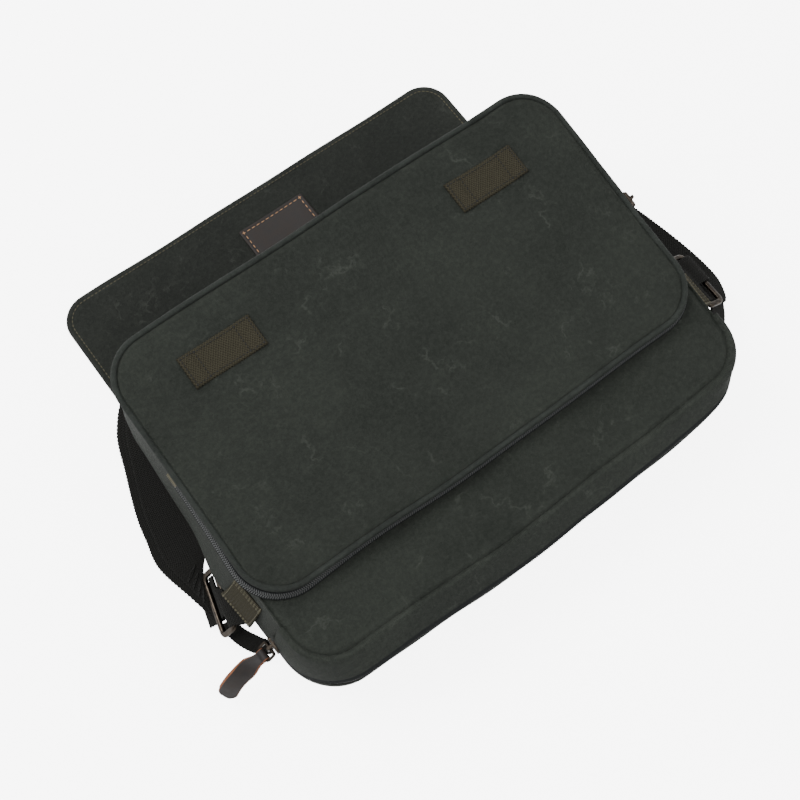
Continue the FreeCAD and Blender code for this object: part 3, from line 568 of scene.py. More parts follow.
BLACK = shader("dark_thread", (0.006, 0.006, 0.005), 0.7)[0]

# ---- shapes shared by several pieces -----------------------------------------


def bow(x, y):
    """How far the unsupported mouth edge sags: outward and down."""
    near = ease(-40, -124, y)
    out = 3.2 * bell(x, -25, 52) - 3.0 * ease(90, 165, x)
    return out * near, -2.2 * bell(x, -20, 95) * near


def front_height(x, y):
    """The front panel's surface away from its seams."""
    _, down = bow(x, y)
    z = FRONT_Z + (y - FRONT_Y) * math.tan(FRONT_TILT)
    soft = 1.3 * waves(x, y, 5, 120) + 0.5 * waves(x, y, 8, 45)
    dent = -3.0 * bell(np.hypot((x - 95) * 0.6, y + 92), 0, 22)
    dent += 2.2 * bell(np.hypot((x + 60) * 0.45, y + 100), 0, 24)
    return z + soft + dent * ease(-60, -95, y) + down


def pocket_point(x, v, n):
    """From the pocket's own sloping frame, with its slight bow, to bag millimetres."""
    sag = ease(90, 0, v) * bell(x, 0, 95)
    y = POCKET_Y + v * math.cos(POCKET_TILT) - n * math.sin(POCKET_TILT) - 2.4 * sag
    z = POCKET_Z + v * math.sin(POCKET_TILT) + n * math.cos(POCKET_TILT) - 1.2 * sag
    lift = 1.1 * waves(x, y, 21, 170, 5) + 0.6 * waves(x, y, 22, 70, 6)
    return np.stack([x + 0.8 * waves(y, x, 23, 120, 5), y + 0.8 * waves(x, y, 24, 130, 5),
                     z + lift], -1)


# ---- main body ---------------------------------------------------------------
gx, gy, d = rounded_grid(BODY_W, BODY_L, BODY_R)
x, y = gx + BODY_CX, gy + BODY_CY
out, _ = bow(x, y)
z = front_height(x, y) - 2.6 * (1 - np.clip(d / 5.0, 0, 1)) ** 2
worn = 0.3 * bell(d, 3.5, 2.5)
p = np.stack([x, y - out, z], -1)
front = surface("front_panel_cloth", p, CANVAS, uv=np.stack([gx, gy], -1), edge=worn)
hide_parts("front_panel")

z_low = 8.0 + 0 * gx
p = np.stack([x * 0.985, y * 0.985, z_low], -1)
back = surface("back_panel_cloth", p, CANVAS, flip=True, uv=np.stack([gx, gy], -1))
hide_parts("back_panel")

_, _, STOPS = rounded_outline(np.array([0.0]), BODY_W, BODY_L, BODY_R)
LEFT_SLIDER = STOPS[3] - 7.4
RIGHT_END = STOPS[6] + 8


def body_section(s, controls):
    """Rows of points down the side of the bag from outward and height controls."""
    flat, n, _ = rounded_outline(s, BODY_W, BODY_L, BODY_R)
    x, y = flat[:, 0] + BODY_CX, flat[:, 1] + BODY_CY
    out, _ = bow(x, y)
    o = np.stack([spline(np.stack(c, 1), SECTION_STEPS) for c in controls(x, y, n, s)])
    offset = o[..., 0] + 0.5 * waves(x[:, None], o[..., 1] * 2, 31, 60)
    px = x[:, None] + n[:, :1] * offset
    py = (y - out)[:, None] + n[:, 1:] * offset
    return np.stack([px, py, o[..., 1]], -1), s[:, None] + 0 * offset, o[..., 1]


def side_bulge(x, y, n):
    """How far the soft sides and bottom push out past the front panel's seam."""
    left = 1.2 + 4.8 * ease(112, 25, y) + 7.0 * bell(y, -26, 28) + 1.5 * bell(y, -74, 14)
    right = 5.0 + 6.0 * ease(-30, -62, y) - 3.0 * ease(60, 112, y)
    side = np.where(n[:, 0] < 0, left, right) * np.abs(n[:, 0])
    return side + 4.5 * np.clip(n[:, 1], 0, 1) + 0.6 * waves(x, y, 33, 90)


def opening(s):
    """0 where the zip is together, 1 along the open mouth."""
    return ease(LEFT_SLIDER, LEFT_SLIDER + 70, s) * (1 - ease(RIGHT_END - 46, RIGHT_END, s))


def lip_reach(s):
    """Outward reach of the front lip's edge: pinched at both corners, wide along the mouth."""
    along = 13.4 - 2.0 * ease(STOPS[5] - 110, STOPS[5] - 40, s)
    pinch = 6.5 * bell(s, (STOPS[5] + STOPS[6]) / 2 - 6, 17)
    start = 6.2 * (1 - ease(LEFT_SLIDER, STOPS[4] + 16, s))
    return along - pinch - start - 3.2 * ease(STOPS[6] - 20, RIGHT_END, s)


def gusset_controls(x, y, n, s):
    top = front_height(x, y)
    b = side_bulge(x, y, n)
    upper = 0.54 - 0.12 * np.sign(-n[:, 0])
    for k in range(len(x)):
        z = top[k]
        o = np.array([-1.2, 1.0, 1.6, b[k] * upper[k] + 1.0, b[k], b[k] * 0.85,
                      b[k] * 0.3, -7])
        h = np.array([z - 2.8, z - 1.0, z - 4.6, z * 0.74, z * 0.46, z * 0.22, 9.0, 7.8])
        yield o, h


def front_lip_controls(x, y, n, s):
    top = front_height(x, y)
    open_by = opening(s)
    reach = lip_reach(s)
    for k in range(len(x)):
        z, w = top[k], open_by[k]
        end_z = 45.8 + 11.6 * w + (z - 69) * w + 6.0 * float(ease(STOPS[6] - 10, RIGHT_END, s[k]))
        o = np.array([-1.2, 1.3, 3.0 + 1.2 * w, 0.62 * reach[k] + 1.2, reach[k]])
        h = np.array([z - 2.8, z - 0.9, z - 2.6, (z - 3.0) * 0.45 + end_z * 0.55, end_z])
        yield o, h


def back_lip_controls(x, y, n, s):
    open_by = opening(s)
    reach = lip_reach(s)
    for k in range(len(x)):
        w = open_by[k]
        end_o = reach[k] * (1 - w) + (2.6 + 0.55 * reach[k]) * w
        end_z = 44.2 - 19.0 * w + 6.0 * float(ease(STOPS[6] - 10, RIGHT_END, s[k]))
        o = np.array([end_o, end_o * 0.9, 4.2, 2.2, -7])
        h = np.array([end_z, end_z * 0.74, end_z * 0.45, 8.8, 7.8])
        yield o, h


total = STOPS[-1]
s = np.concatenate([np.arange(RIGHT_END, total, 2.2), np.arange(total, total + LEFT_SLIDER, 2.2),
                    [total + LEFT_SLIDER]])
p, u, v = body_section(s, gusset_controls)
worn = 0.35 * bell(np.arange(SECTION_STEPS)[None, :] + 0 * u, 4, 3)
side = surface("gusset_cloth", p, CANVAS, uv=np.stack([u, v], -1), edge=worn)
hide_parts("gusset_strip")

s_mouth = np.append(np.arange(LEFT_SLIDER, RIGHT_END, 1.8), RIGHT_END)
front_lip, u, v = body_section(s_mouth, front_lip_controls)
worn = 0.35 * bell(np.arange(SECTION_STEPS)[None, :] + 0 * u, 6, 5)
obj = shell("front_lip_cloth", front_lip, 1.2, CANVAS, uv=np.stack([u, v], -1),
            edge=worn)
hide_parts("front_zip_lip")
back_lip, u, v = body_section(s_mouth, back_lip_controls)
obj = shell("back_lip_cloth", back_lip, 1.2, CANVAS, uv=np.stack([u, v], -1),
            edge=0.1 + 0 * u)
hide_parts("back_zip_lip")


def half_chain(name, edge, behind, node):
    """Zip tape beyond a lip's edge, with its coil on the free side."""
    away = unit(edge - behind)
    n = unit(np.cross(tangents(edge), away))
    tape = edge[:, None] + away[:, None] * np.linspace(-1.5, 3.0, 6)[None, :, None]
    s = np.arange(len(edge))[:, None] * 1.8 + np.zeros((1, 6))
    across = np.linspace(0, 4.5, 6)[None] + 0 * s
    strip = shell(name + "_tape", tape - n[:, None] * 0.5, 0.6, TAPE,
                  uv=np.stack([s, across], -1), keep=True)
    line = resample(np.concatenate([edge + away * 2.6 - n * 0.2, away, n], 1), 1.45)
    lean = unit(line[:, 3:6] + 0.25 * tangents(line[:, :3]))
    coil = links(name + "_coil", line[:, :3], lean, line[:, 6:9], 3.0, 0.95, 1.7, COIL,
                 keep=True)
    cord = links(name + "_cord", line[:, :3] + line[:, 6:9] * 0.55, tangents(line[:, :3]),
                 line[:, 6:9], 1.8, 0.8, 0.5, BLACK, keep=True)
    whole = join(name, [strip, coil, cord])
    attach(whole, "bag")
    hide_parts(node)
    return whole


half_chain("mouth_zip_front", front_lip[:, -1], front_lip[:, -4], "main_zip_front_chain")
half_chain("mouth_zip_back", back_lip[:, 0], back_lip[:, 3], "main_zip_back_chain")

# lining: dark cloth a little inside the body
inner_s = np.append(np.arange(0, total, 4.0), total)


def lining_controls(x, y, n, s):
    for top in front_height(x, y):
        high = top - 4.5
        o = np.array([-9.0, -5.5, -5.0, -5.0, -5.5, -10.0])
        yield o, np.array([high, high - 2, high - 16, 30, 17, 12.5])


wall, u, v = body_section(inner_s, lining_controls)
rows = np.concatenate([np.where(inner_s >= STOPS[6] - 20)[0],
                       np.where(inner_s <= STOPS[3] + 20)[0]])
strip = wall[rows]
uv = np.stack([u[rows] * 0 + np.arange(len(rows))[:, None] * 4.0, v[rows]], -1)
pouch = shell("lining_walls", strip, 0.8, LINING, uv=uv)
gx2, gy2, _ = rounded_grid(BODY_W - 16, BODY_L - 14, 24, 2.5, 5.0, 10)
gx2 = gx2 + BODY_CX
y2 = gy2 + BODY_CY
floor_z = 12.0 + 0.8 * waves(gx2, y2, 41, 90)
p = np.stack([gx2, y2, floor_z], -1)
lining_floor = shell("lining_back", p, 0.8, LINING,
                     uv=np.stack([gx2, gy2], -1), keep=True)
pouch_all = join("lining_pouch_cloth", [pouch, lining_floor])
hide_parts("lining_pouch")
out, _ = bow(gx2, y2)
p = np.stack([gx2, y2 - out, front_height(gx2, y2) - 4.2], -1)
lining_top = shell("lining_front_cloth", p, 0.8, LINING, uv=np.stack([gx2, gy2], -1))
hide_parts("lining_front")

# ---- front pocket ------------------------------------------------------------
PANEL_INSET = 2.9
gx, gv, d = rounded_grid(POCKET_W - 2 * PANEL_INSET, POCKET_L - 2 * PANEL_INSET,
                         POCKET_R - PANEL_INSET)
v = gv + POCKET_L / 2


def panel_height(x, v, d):
    pillow = 3.2 * (1 - np.exp(-d / 26.0)) - 1.2 * bell(v, 154, 26) * ease(4, 20, d)
    roll = 1.6 * (1 - np.exp(-d / 1.6)) - 0.9
    soft = 0.9 * waves(x, v, 51, 95) + 0.35 * waves(x, v, 52, 36)
    ridge = 1.4 * bell((x + 90) * 0.5 + (v - 60) * 0.86, 0, 16) * bell(x, -90, 60)
    ridge -= 1.2 * bell((x + 60) * 0.6 + (v - 52) * 0.8, 0, 13) * bell(x, -80, 70)
    hollow = -2.0 * bell(np.hypot(x - 60, (v - 70) * 1.2), 0, 55)
    return roll + pillow + (soft + ridge + hollow) * ease(2, 25, d)


n = panel_height(gx, v, d)
p = pocket_point(gx, v, n)
panel = surface("pocket_panel_cloth", p, CANVAS, uv=np.stack([gx, gv], -1),
                edge=0.45 * bell(d, 1.0, 2.6))
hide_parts("pocket_panel")

_, _, PSTOPS = rounded_outline(np.array([0.0]), POCKET_W, POCKET_L, POCKET_R)
p_total = PSTOPS[-1]


def pocket_ring(s, inset, n):
    """Points round the pocket's outline, moved inwards and along its normal."""
    flat, out, _ = rounded_outline(s, POCKET_W, POCKET_L, POCKET_R)
    flat = flat - out * np.reshape(inset, (-1, 1))
    return pocket_point(flat[:, 0], flat[:, 1] + POCKET_L / 2, n), out


s = np.arange(0, p_total, 1.6)
wobble = 0.35 * waves(s, 0 * s, 61, 60)
line, out = pocket_ring(s, 1.9, -0.3 + wobble)
t = unit(np.roll(line, -1, 0) - np.roll(line, 1, 0))
across = unit(np.stack([out[:, 0], out[:, 1], 0 * s], 1))
up = np.cross(across, t)
up = unit(up * np.sign(up[:, 2:3]))
radius = 2.1 + 0.12 * waves(s, 0 * s, 62, 18)
angles = np.linspace(0, 2 * math.pi, 17)[:-1]
ring = (line[:, None]
        + across[:, None] * (radius[:, None] * np.cos(angles))[..., None]
        + up[:, None] * (radius[:, None] * np.sin(angles))[..., None])
uv = np.stack([s[:, None] + 0 * angles, angles[None] * 2.7 + 0 * s[:, None]], -1)
worn = 0.45 * np.clip(np.sin(angles - 0.2), 0, 1)[None] ** 2 + 0 * s[:, None]
piping = surface("pocket_piping_cord", ring, PIPING, uv=uv, edge=worn,
                 wrap_u=True, wrap_v=True, flip=True)
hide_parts("pocket_piping")

ZIP_END_LEFT = PSTOPS[2] + (PSTOPS[3] - PSTOPS[2]) * 0.48
ZIP_END_RIGHT = PSTOPS[6] + (PSTOPS[7] - PSTOPS[6]) * 0.52


def gusset_wall(s, steps=12):
    flat, out, _ = rounded_outline(s, POCKET_W, POCKET_L, POCKET_R)
    top, _ = pocket_ring(s, 2.6, -1.6 + 0 * s)
    x, y = top[:, 0], top[:, 1]
    foot_x, foot_y = x - out[:, 0] * 1.5, y - out[:, 1] * 1.5
    foot = np.stack([foot_x, foot_y, front_height(foot_x, foot_y) - 1.4], 1)
    flare = 1.5 + 1.4 * waves(s, 0 * s, 71, 70)
    flare = flare + 1.6 * bell(s, PSTOPS[3] + 20, 60)
    f = np.linspace(0, 1, steps)
    p = top[:, None] * (1 - f)[None, :, None] + foot[:, None] * f[None, :, None]
    push = np.sin(math.pi * f)[None] * flare[:, None] + 0.9 * np.sin(2 * math.pi * f)[None]
    p[..., :2] += out[:, None] * push[..., None]
    return p, out


p, out = gusset_wall(np.append(s, p_total))
u = np.append(s, p_total)[:, None] + np.zeros((1, 12))
v = np.linspace(0, 20, 12)[None] + 0 * u
wall = surface("pocket_gusset_cloth", p, CANVAS, uv=np.stack([u, v], -1),
               edge=0.1 + 0 * u, flip=False)
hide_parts("pocket_gusset")

s_zip = np.arange(ZIP_END_LEFT, ZIP_END_RIGHT, 1.4)
flare = 1.0 + 2.6 * bell(s_zip, PSTOPS[3] + 22, 48)
centre, out = pocket_ring(s_zip, 1.6 - flare, -4.4 + 0 * s_zip)
out3 = unit(np.stack([out[:, 0], out[:, 1], 0.75 + 0 * s_zip], 1))
t = tangents(centre)
down = unit(np.cross(t, out3))
down = down * -np.sign(down[:, 2:3])
offsets = np.linspace(-2.9, 2.9, 7)
tape = centre[:, None] + down[:, None] * offsets[None, :, None]
u = s_zip[:, None] + 0 * offsets
strip = shell("pocket_zip_tape", tape, 0.7, TAPE, keep=True,
              uv=np.stack([u, offsets[None] + 0 * u], -1))
line = resample(np.concatenate([centre, out3, down], 1), 1.5)
coils = []
for k, shift in enumerate((-1.05, 1.05)):
    places = line[:, :3] + line[:, 3:6] * 0.5 + line[:, 6:9] * shift
    places = places + tangents(line[:, :3]) * (0.75 * k)
    lean = unit(line[:, 6:9] + (0.3 - 0.6 * k) * tangents(line[:, :3]))
    coils.append(links("coil_%d" % k, places, lean, line[:, 3:6], 2.7, 0.95, 1.7, COIL,
                       keep=True))
chain = join("pocket_zip", [strip] + coils)
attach(chain, "bag")
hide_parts("pocket_zip_chain")

# bar tacks where the pocket's zip ends
tacks = []
for k, place in enumerate((ZIP_END_LEFT, ZIP_END_RIGHT)):
    around = np.linspace(place - 7, place + 2, 9)
    spot, out = pocket_ring(around, 0.4, -1.2 + 0 * around)
    out3 = np.stack([out[:, 0], out[:, 1], 1 + 0 * around], 1)
    cross = unit(np.cross(tangents(spot), out3))
    tacks.append(links("tack_%d" % k, spot + unit(out3) * 0.6, cross, out3, 5.0, 0.8, 0.8, PALE,
                       keep=True))
tack = join("pocket_zip_bar_tacks", tacks)
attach(tack, "bag")

# ---- webbing patches over the magnets ----------------------------------------


def pocket_surface(x, v, lift):
    inset = np.minimum(POCKET_W / 2 - np.abs(x), np.minimum(v, POCKET_L - v)) - PANEL_INSET
    return pocket_point(x, v, panel_height(x, v, np.maximum(inset, 0)) + lift)


PATCH_X = node_box("magnet_patch_right")[:, 0].mean()
PATCH_V = 153.8  # up the pocket's face to the patches' middle
for sign, word in ((-1, "left"), (1, "right")):
    mid = sign * PATCH_X
    xs = np.linspace(-27.5, 27.5, 111)
    vs = np.linspace(-12, 12, 41)
    X, V = np.meshgrid(xs, vs, indexing="ij")
    rib = 0.12 * np.sin(2 * math.pi * X / 1.9) * np.sin(2 * math.pi * V / 2.4)
    ends = 0.7 * ease(17.0, 18.6, np.abs(X))
    rim = np.minimum(27.5 - np.abs(X), 12 - np.abs(V))
    lift = 1.3 + ends + rib - 1.2 * (1 - np.clip(rim / 1.2, 0, 1)) ** 2
    fray = 0.25 * np.sin(2 * math.pi * X / 2.3) * (np.abs(V) > 11.5)
    p = pocket_surface(mid + X, PATCH_V + V + np.sign(V) * fray, lift)
    patch = shell("webbing_patch_" + word, p, 1.2, OLIVE,
                  uv=np.stack([X, V], -1))
    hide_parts("magnet_patch_" + word)
    seams = []
    box_x, box_v = 15.2, 9.4
    corners = [(-box_x, -box_v), (box_x, -box_v), (box_x, box_v), (-box_x, box_v),
               (-box_x, -box_v)]
    runs = list(zip(corners[:-1], corners[1:]))
    runs += [((-25.4, -10), (-25.4, 10)), ((25.4, -10), (25.4, 10))]
    runs += [((-25.4, -10), (-box_x, -10)), ((box_x, -10), (25.4, -10))]
    runs += [((-25.4, 10), (-box_x, 10)), ((box_x, 10), (25.4, 10))]
    for k, ((x0, v0), (x1, v1)) in enumerate(runs):
        f = np.linspace(0, 1, 40)
        x, vv = x0 + (x1 - x0) * f, v0 + (v1 - v0) * f
        lift = 1.35 + 0.7 * ease(17.0, 18.6, np.abs(x))
        line = pocket_surface(mid + x, PATCH_V + vv, lift)
        seams.append(stitch_line("seam_%d" % k, line, (0, -0.18, 1.0), BLACK,
                                 pitch=2.6, length=2.0, keep=True))
    seam = join("patch_stitching_" + word, seams)
    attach(seam, "bag")

# ---- flap --------------------------------------------------------------------
flap_low, flap_high = node_box("flap_front_panel")
FLAP_W, FREE = float(flap_high[0] - flap_low[0]), float(flap_high[1])
FOLD_1, FOLD_2, FOLD_3 = (float(joint_point(name)[1]) for name in
                          ("flap_root_hinge", "flap_edge_fold", "flap_front_fold"))


def flap_wave(x, y):
    """The free end lifts a little off the floor; the part under the bag lies flat."""
    loose = ease(128, 200, y)
    lift = 1.5 + 1.3 * waves(x, y, 81, 110) + 0.7 * bell(x, -150, 50)
    return np.clip(lift * loose, 0, 5)


def flap_piece(name, y0, y1, nodes, free_edge=False):
    half = FLAP_W / 2
    xs = graded(half, 0.8, 3.0, 8)
    ys = np.linspace(y0, y1, max(6, int((y1 - y0) / 3)))
    if free_edge:
        ys = np.concatenate([np.linspace(y0, y1 - 30, 80), np.linspace(y1 - 29.4, y1, 50)])
    X, Y = np.meshgrid(xs, ys, indexing="ij")
    rim = half - np.abs(X)
    if free_edge:
        r = 22.0
        cx, cy = half - r, y1 - r
        a = np.clip((np.abs(X) - cx) / r, 0, 1)
        b = np.clip((Y - cy) / r, 0, 1)
        X = np.where(a > 0, cx + r * a * np.sqrt(1 - b * b / 2), np.abs(X)) * np.sign(X)
        Y = np.where(b > 0, cy + r * b * np.sqrt(1 - a * a / 2), Y)
        corner = r - np.hypot(np.maximum(np.abs(X) - cx, 0), np.maximum(Y - cy, 0))
        rim = np.where((np.abs(X) > cx) & (Y > cy), corner, np.minimum(half - np.abs(X), y1 - Y))
    rim = np.maximum(rim, 0)
    lift = flap_wave(X, Y)
    seam = 0.28 * bell(rim, 4.6, 1.1)
    top = 2.1 + lift - 0.85 * (1 - np.clip(rim / 1.6, 0, 1)) ** 2 - seam
    bottom = 0.25 + lift + 0.65 * (1 - np.clip(rim / 1.6, 0, 1)) ** 2
    verts, faces, _ = closed(np.stack([X, Y, top], -1), np.stack([X, Y, bottom], -1))
    uv = np.stack([X, Y], -1).reshape(-1, 2)
    worn = np.ravel(0.5 * bell(rim, 0.8, 2.0) + 0.2 * bell(rim, 4.6, 2.5))
    obj = add_mesh(name, verts, faces, FLAP, None,
                   np.concatenate([uv, uv]), np.concatenate([worn, worn]))
    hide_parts(*nodes)
    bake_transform(obj)
    return obj


def row(x, y, z):
    return tuple((np.array([x, y, z], float) + SHIFT) / 1000)


flap_piece("flap_cloth_root", FOLD_1, -102.0, ["flap_seam_binding"])
flap_piece("flap_cloth_top", -102.0, -50.0,
           ["flap_root_strip", "flap_top_strip"])
flap_piece("flap_cloth_front", -50.0, FREE, ["flap_front_panel"],
           True)

# topstitching round the flap, on the part that turns with the front length
half = FLAP_W / 2 - 4.6
r = 17.4
top_y = FREE - 4.6
left = [(-half, yy) for yy in np.arange(FOLD_3 + 12, top_y - r, 2.0)]
corner_l = [(-half + r - r * math.cos(a), top_y - r + r * math.sin(a))
            for a in np.linspace(0, math.pi / 2, 16)]
corner_r = [(half - r + r * math.sin(a), top_y - r + r * math.cos(a))
            for a in np.linspace(0, math.pi / 2, 16)]
right = [(half, yy) for yy in np.arange(top_y - r, FOLD_3 + 12, -2.0)]
line = np.array(left + corner_l + corner_r + right)
zs = 2.0 + flap_wave(line[:, 0], line[:, 1])
stitch_line("flap_topstitch", np.column_stack([line, zs]), (0, 0, 1), KHAKI,
            body="flap_front", pitch=3.3, length=2.5)

# leather label with its raw edge and running stitches, no lettering
label_low, label_high = node_box("leather_label")[:, :2]
(label_x, label_y), (label_w, label_l) = (label_low + label_high) / 2, label_high - label_low
gx, gy, d = rounded_grid(label_w, label_l, 1.6, 0.5, 1.5, 2.5)
lx, ly = gx + label_x, gy + label_y
z = 2.25 + flap_wave(lx, ly) + 1.6 - 0.5 * (1 - np.clip(d / 0.9, 0, 1)) ** 2
z = z - 0.25 * bell(d, 3.0, 0.9)
label = shell("leather_label_piece", np.stack([lx, ly, z], -1), 1.7, [LEATHER, RAW_EDGE],
              uv=np.stack([gx, gy], -1), body="flap_front")
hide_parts("leather_label")
hx, hy = label_w / 2 - 3.0, label_l / 2 - 3.0
corners = np.array([(-hx, -hy), (hx, -hy), (hx, hy), (-hx, hy), (-hx, -hy)])
parts = []
for k in range(4):
    f = np.linspace(0, 1, 30)[:, None]
    run = corners[k] * (1 - f) + corners[k + 1] * f + np.array([label_x, label_y])
    zs = 3.75 + flap_wave(run[:, 0], run[:, 1])
    parts.append(stitch_line("label_run_%d" % k, np.column_stack([run, zs]), (0, 0, 1), ORANGE,
                             pitch=4.4, length=3.0, keep=True))
label_seam = join("label_stitching", parts)
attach(label_seam, "flap_front")

# ---- strap -------------------------------------------------------------------


def between(edges, count, step):
    """The line midway between two edges, the directions across it, and its widths."""
    k = resample(spline(edges, count), step, 6)
    across = k[:, 3:] - k[:, :3]
    return (k[:, :3] + k[:, 3:]) / 2, unit(across), np.linalg.norm(across, axis=1)


def band(name, edges, node_list, blend, start, end):
    """A flat band of webbing between two edges; a row is one edge's point, then the other's."""
    middle, across, widths = between(edges, 500, 0.7)
    obj = ribbon(name, middle, across, STRAP_WIDTH, 1.9, STRAP, None, ribs=0.16,
                 selvedge=0.5, widths=widths, across=26, keep=True, skewed=True)
    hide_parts(*node_list)
    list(blend)
    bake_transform(obj)
    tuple(start)
    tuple(end)
    return obj


strap_low, strap_high = node_box("strap_middle")
STRAP_WIDTH = float(strap_high[1] - strap_low[1])
LEFT_END = row(-204, -40, 10), row(-214, 4, 10)
band("strap_left_outer", [
    (-206.0, -42.0, 5.8, -197.0, -12.0, 6.2),
    (-211.0, -17.0, 5.0, -195.0, -7.0, 6.0),
    (-217.0, 13.0, 4.0, -186.0, 10.0, 4.4),
    (-213.5, 35.0, 3.1, -180.5, 31.0, 3.1),
    (-209.0, 55.0, 3.0, -173.5, 48.0, 3.0),
    (-198.0, 86.0, 3.0, -160.0, 76.0, 3.0),
    (-186.0, 116.0, 3.0, -146.0, 95.0, 3.0),
    (-163.0, 139.0, 3.0, -134.0, 104.0, 3.0),
    (-125.0, 144.0, 3.1, -125.0, 106.0, 3.1),
    (-60.0, 144.0, 3.1, -60.0, 106.0, 3.1),
    (140.0, 144.0, 3.1, 140.0, 106.0, 3.1),
], ["strap_left_lower", "strap_folded_layer"], ("left_ring", "bag"),
    *LEFT_END)
band("strap_left_inner", [
    (-205.5, -41.0, 8.2, -196.5, -12.0, 8.4),
    (-207.0, -17.0, 8.0, -192.0, -5.0, 8.6),
    (-211.2, 12.0, 6.9, -181.0, 9.0, 7.2),
    (-208.0, 34.0, 5.7, -175.5, 29.0, 5.7),
    (-203.4, 53.5, 5.5, -168.5, 46.0, 5.5),
    (-192.5, 83.5, 5.5, -155.0, 73.5, 5.5),
    (-180.5, 112.0, 5.6, -142.0, 93.0, 5.6),
    (-161.0, 136.0, 5.9, -133.0, 103.0, 5.9),
    (-125.0, 144.0, 6.1, -125.0, 106.0, 6.1),
    (-60.0, 144.0, 6.1, -60.0, 106.0, 6.1),
    (140.0, 144.0, 6.1, 140.0, 106.0, 6.1),
], ["strap_left_upper", "strap_middle"], ("left_ring", "bag"),
    *LEFT_END)
band("strap_right", [
    (208.6, -67.4, 27.0, 212.0, -38.0, 29.0),
    (219.6, -69.8, 25.0, 214.5, -34.0, 26.0),
    (229.6, -55.6, 17.0, 214.0, -30.0, 18.0),
    (234.6, -41.0, 10.0, 212.0, -26.0, 10.0),
    (235.0, -20.0, 6.8, 203.0, -15.0, 6.8),
    (230.5, 10.0, 6.1, 195.0, 0.0, 6.1),
    (222.0, 45.0, 6.1, 186.0, 32.0, 6.1),
    (203.0, 92.0, 6.1, 170.0, 71.0, 6.1),
    (176.0, 131.0, 6.1, 155.0, 98.0, 6.1),
    (140.0, 144.0, 6.1, 140.0, 106.0, 6.1),
], ["strap_right_run"], ("right_ring", "bag"),
    row(213, -60, 30), row(216, -20, 30))

# ---- sewn ends round the rings and the side tabs -----------------------------
# Side, slope down from the near bar and turn about the upright, the last two in degrees.
RINGS = {"left": (-1, 55.0, -15.5), "right": (1, 30.0, 0.0)}


def ring_axes(word):
    """A strap ring's near bar, the way out to its far bar, the bars' line and its normal."""
    sign, slope, turn = RINGS[word]
    a = math.radians(turn + (180 if sign < 0 else 0))
    c, s = math.cos(math.radians(slope)), math.sin(math.radians(slope))
    out = np.array([math.cos(a) * c, math.sin(a) * c, -s])
    bar = np.array([-math.sin(a), math.cos(a), 0.0])
    return joint_point(word + "_ring_swing"), out, bar, np.cross(out, bar)


for word in ("left", "right"):
    near, out, bar, up = ring_axes(word)
    far = near + out * RING_PITCH
    level = math.radians(RINGS[word][1] / 2)
    flat_way = out * math.cos(level) + up * math.sin(level)
    under = [(-10.8, 0.6), (-8.0, 0.9), (-5.2, -0.2), (-3.2, -2.2), (0.0, -3.7)]
    over = [(-10.8, 0.6), (-8.0, 1.4), (-4.5, 2.9), (-1.5, 3.6), (1.5, 3.4), (3.8, 1.2),
            (4.8, -1.6)]
    aside, end_width, wrap = (-3.5, 29.0, under) if word == "left" else (7.5, 23.0, over)
    start = far + bar * aside
    keys = [start + out * a + up * b for a, b in wrap]
    keys += [start - up * 3.8 + flat_way * a for a in (6.5, 9.0, 11.5)]
    path = resample(spline(keys, 200), 0.6)
    wide = np.broadcast_to(bar, path.shape)
    obj = ribbon("strap_end_fold_" + word, path, wide, end_width, 1.5, STRAP,
                 word + "_ring", ribs=0.1, selvedge=0.4)
    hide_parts("strap_end_" + word)

zigzag = []
for row_y in (-27.0, -21.0, -15.0, -9.0):
    f = np.linspace(0.16, 0.84, 60)
    near_x, far_x = -206.4 - (row_y + 27.0) * 0.1, -196.5 + (row_y + 15.0) * 0.35
    x = near_x + (far_x - near_x) * f
    line = np.stack([x, row_y + 9.0 * f + 0.9 * np.sin(f * 60), 9.5 + 0.2 * f], 1)
    zigzag.append(stitch_line("zigzag_%d" % len(zigzag), line, (0, 0, 1), BLACK,
                              pitch=2.2, length=1.9, keep=True))
zigzag = join("strap_end_zigzag", zigzag)
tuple(LEFT_END[0])
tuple(LEFT_END[1])
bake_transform(zigzag)


def ruled(name, edges, material, thickness=1.6, ribs=0.12, selvedge=0.35):
    """A tab's webbing between two edges, with its middle line and the directions across it."""
    middle, across, widths = between(edges, 300, 0.6)
    piece = ribbon(name, middle, across, TAB_WIDTH, thickness, material,
                   ribs=ribs, rib_pitch=1.9, selvedge=selvedge, widths=widths, keep=True,
                   skewed=True)
    return piece, middle, across


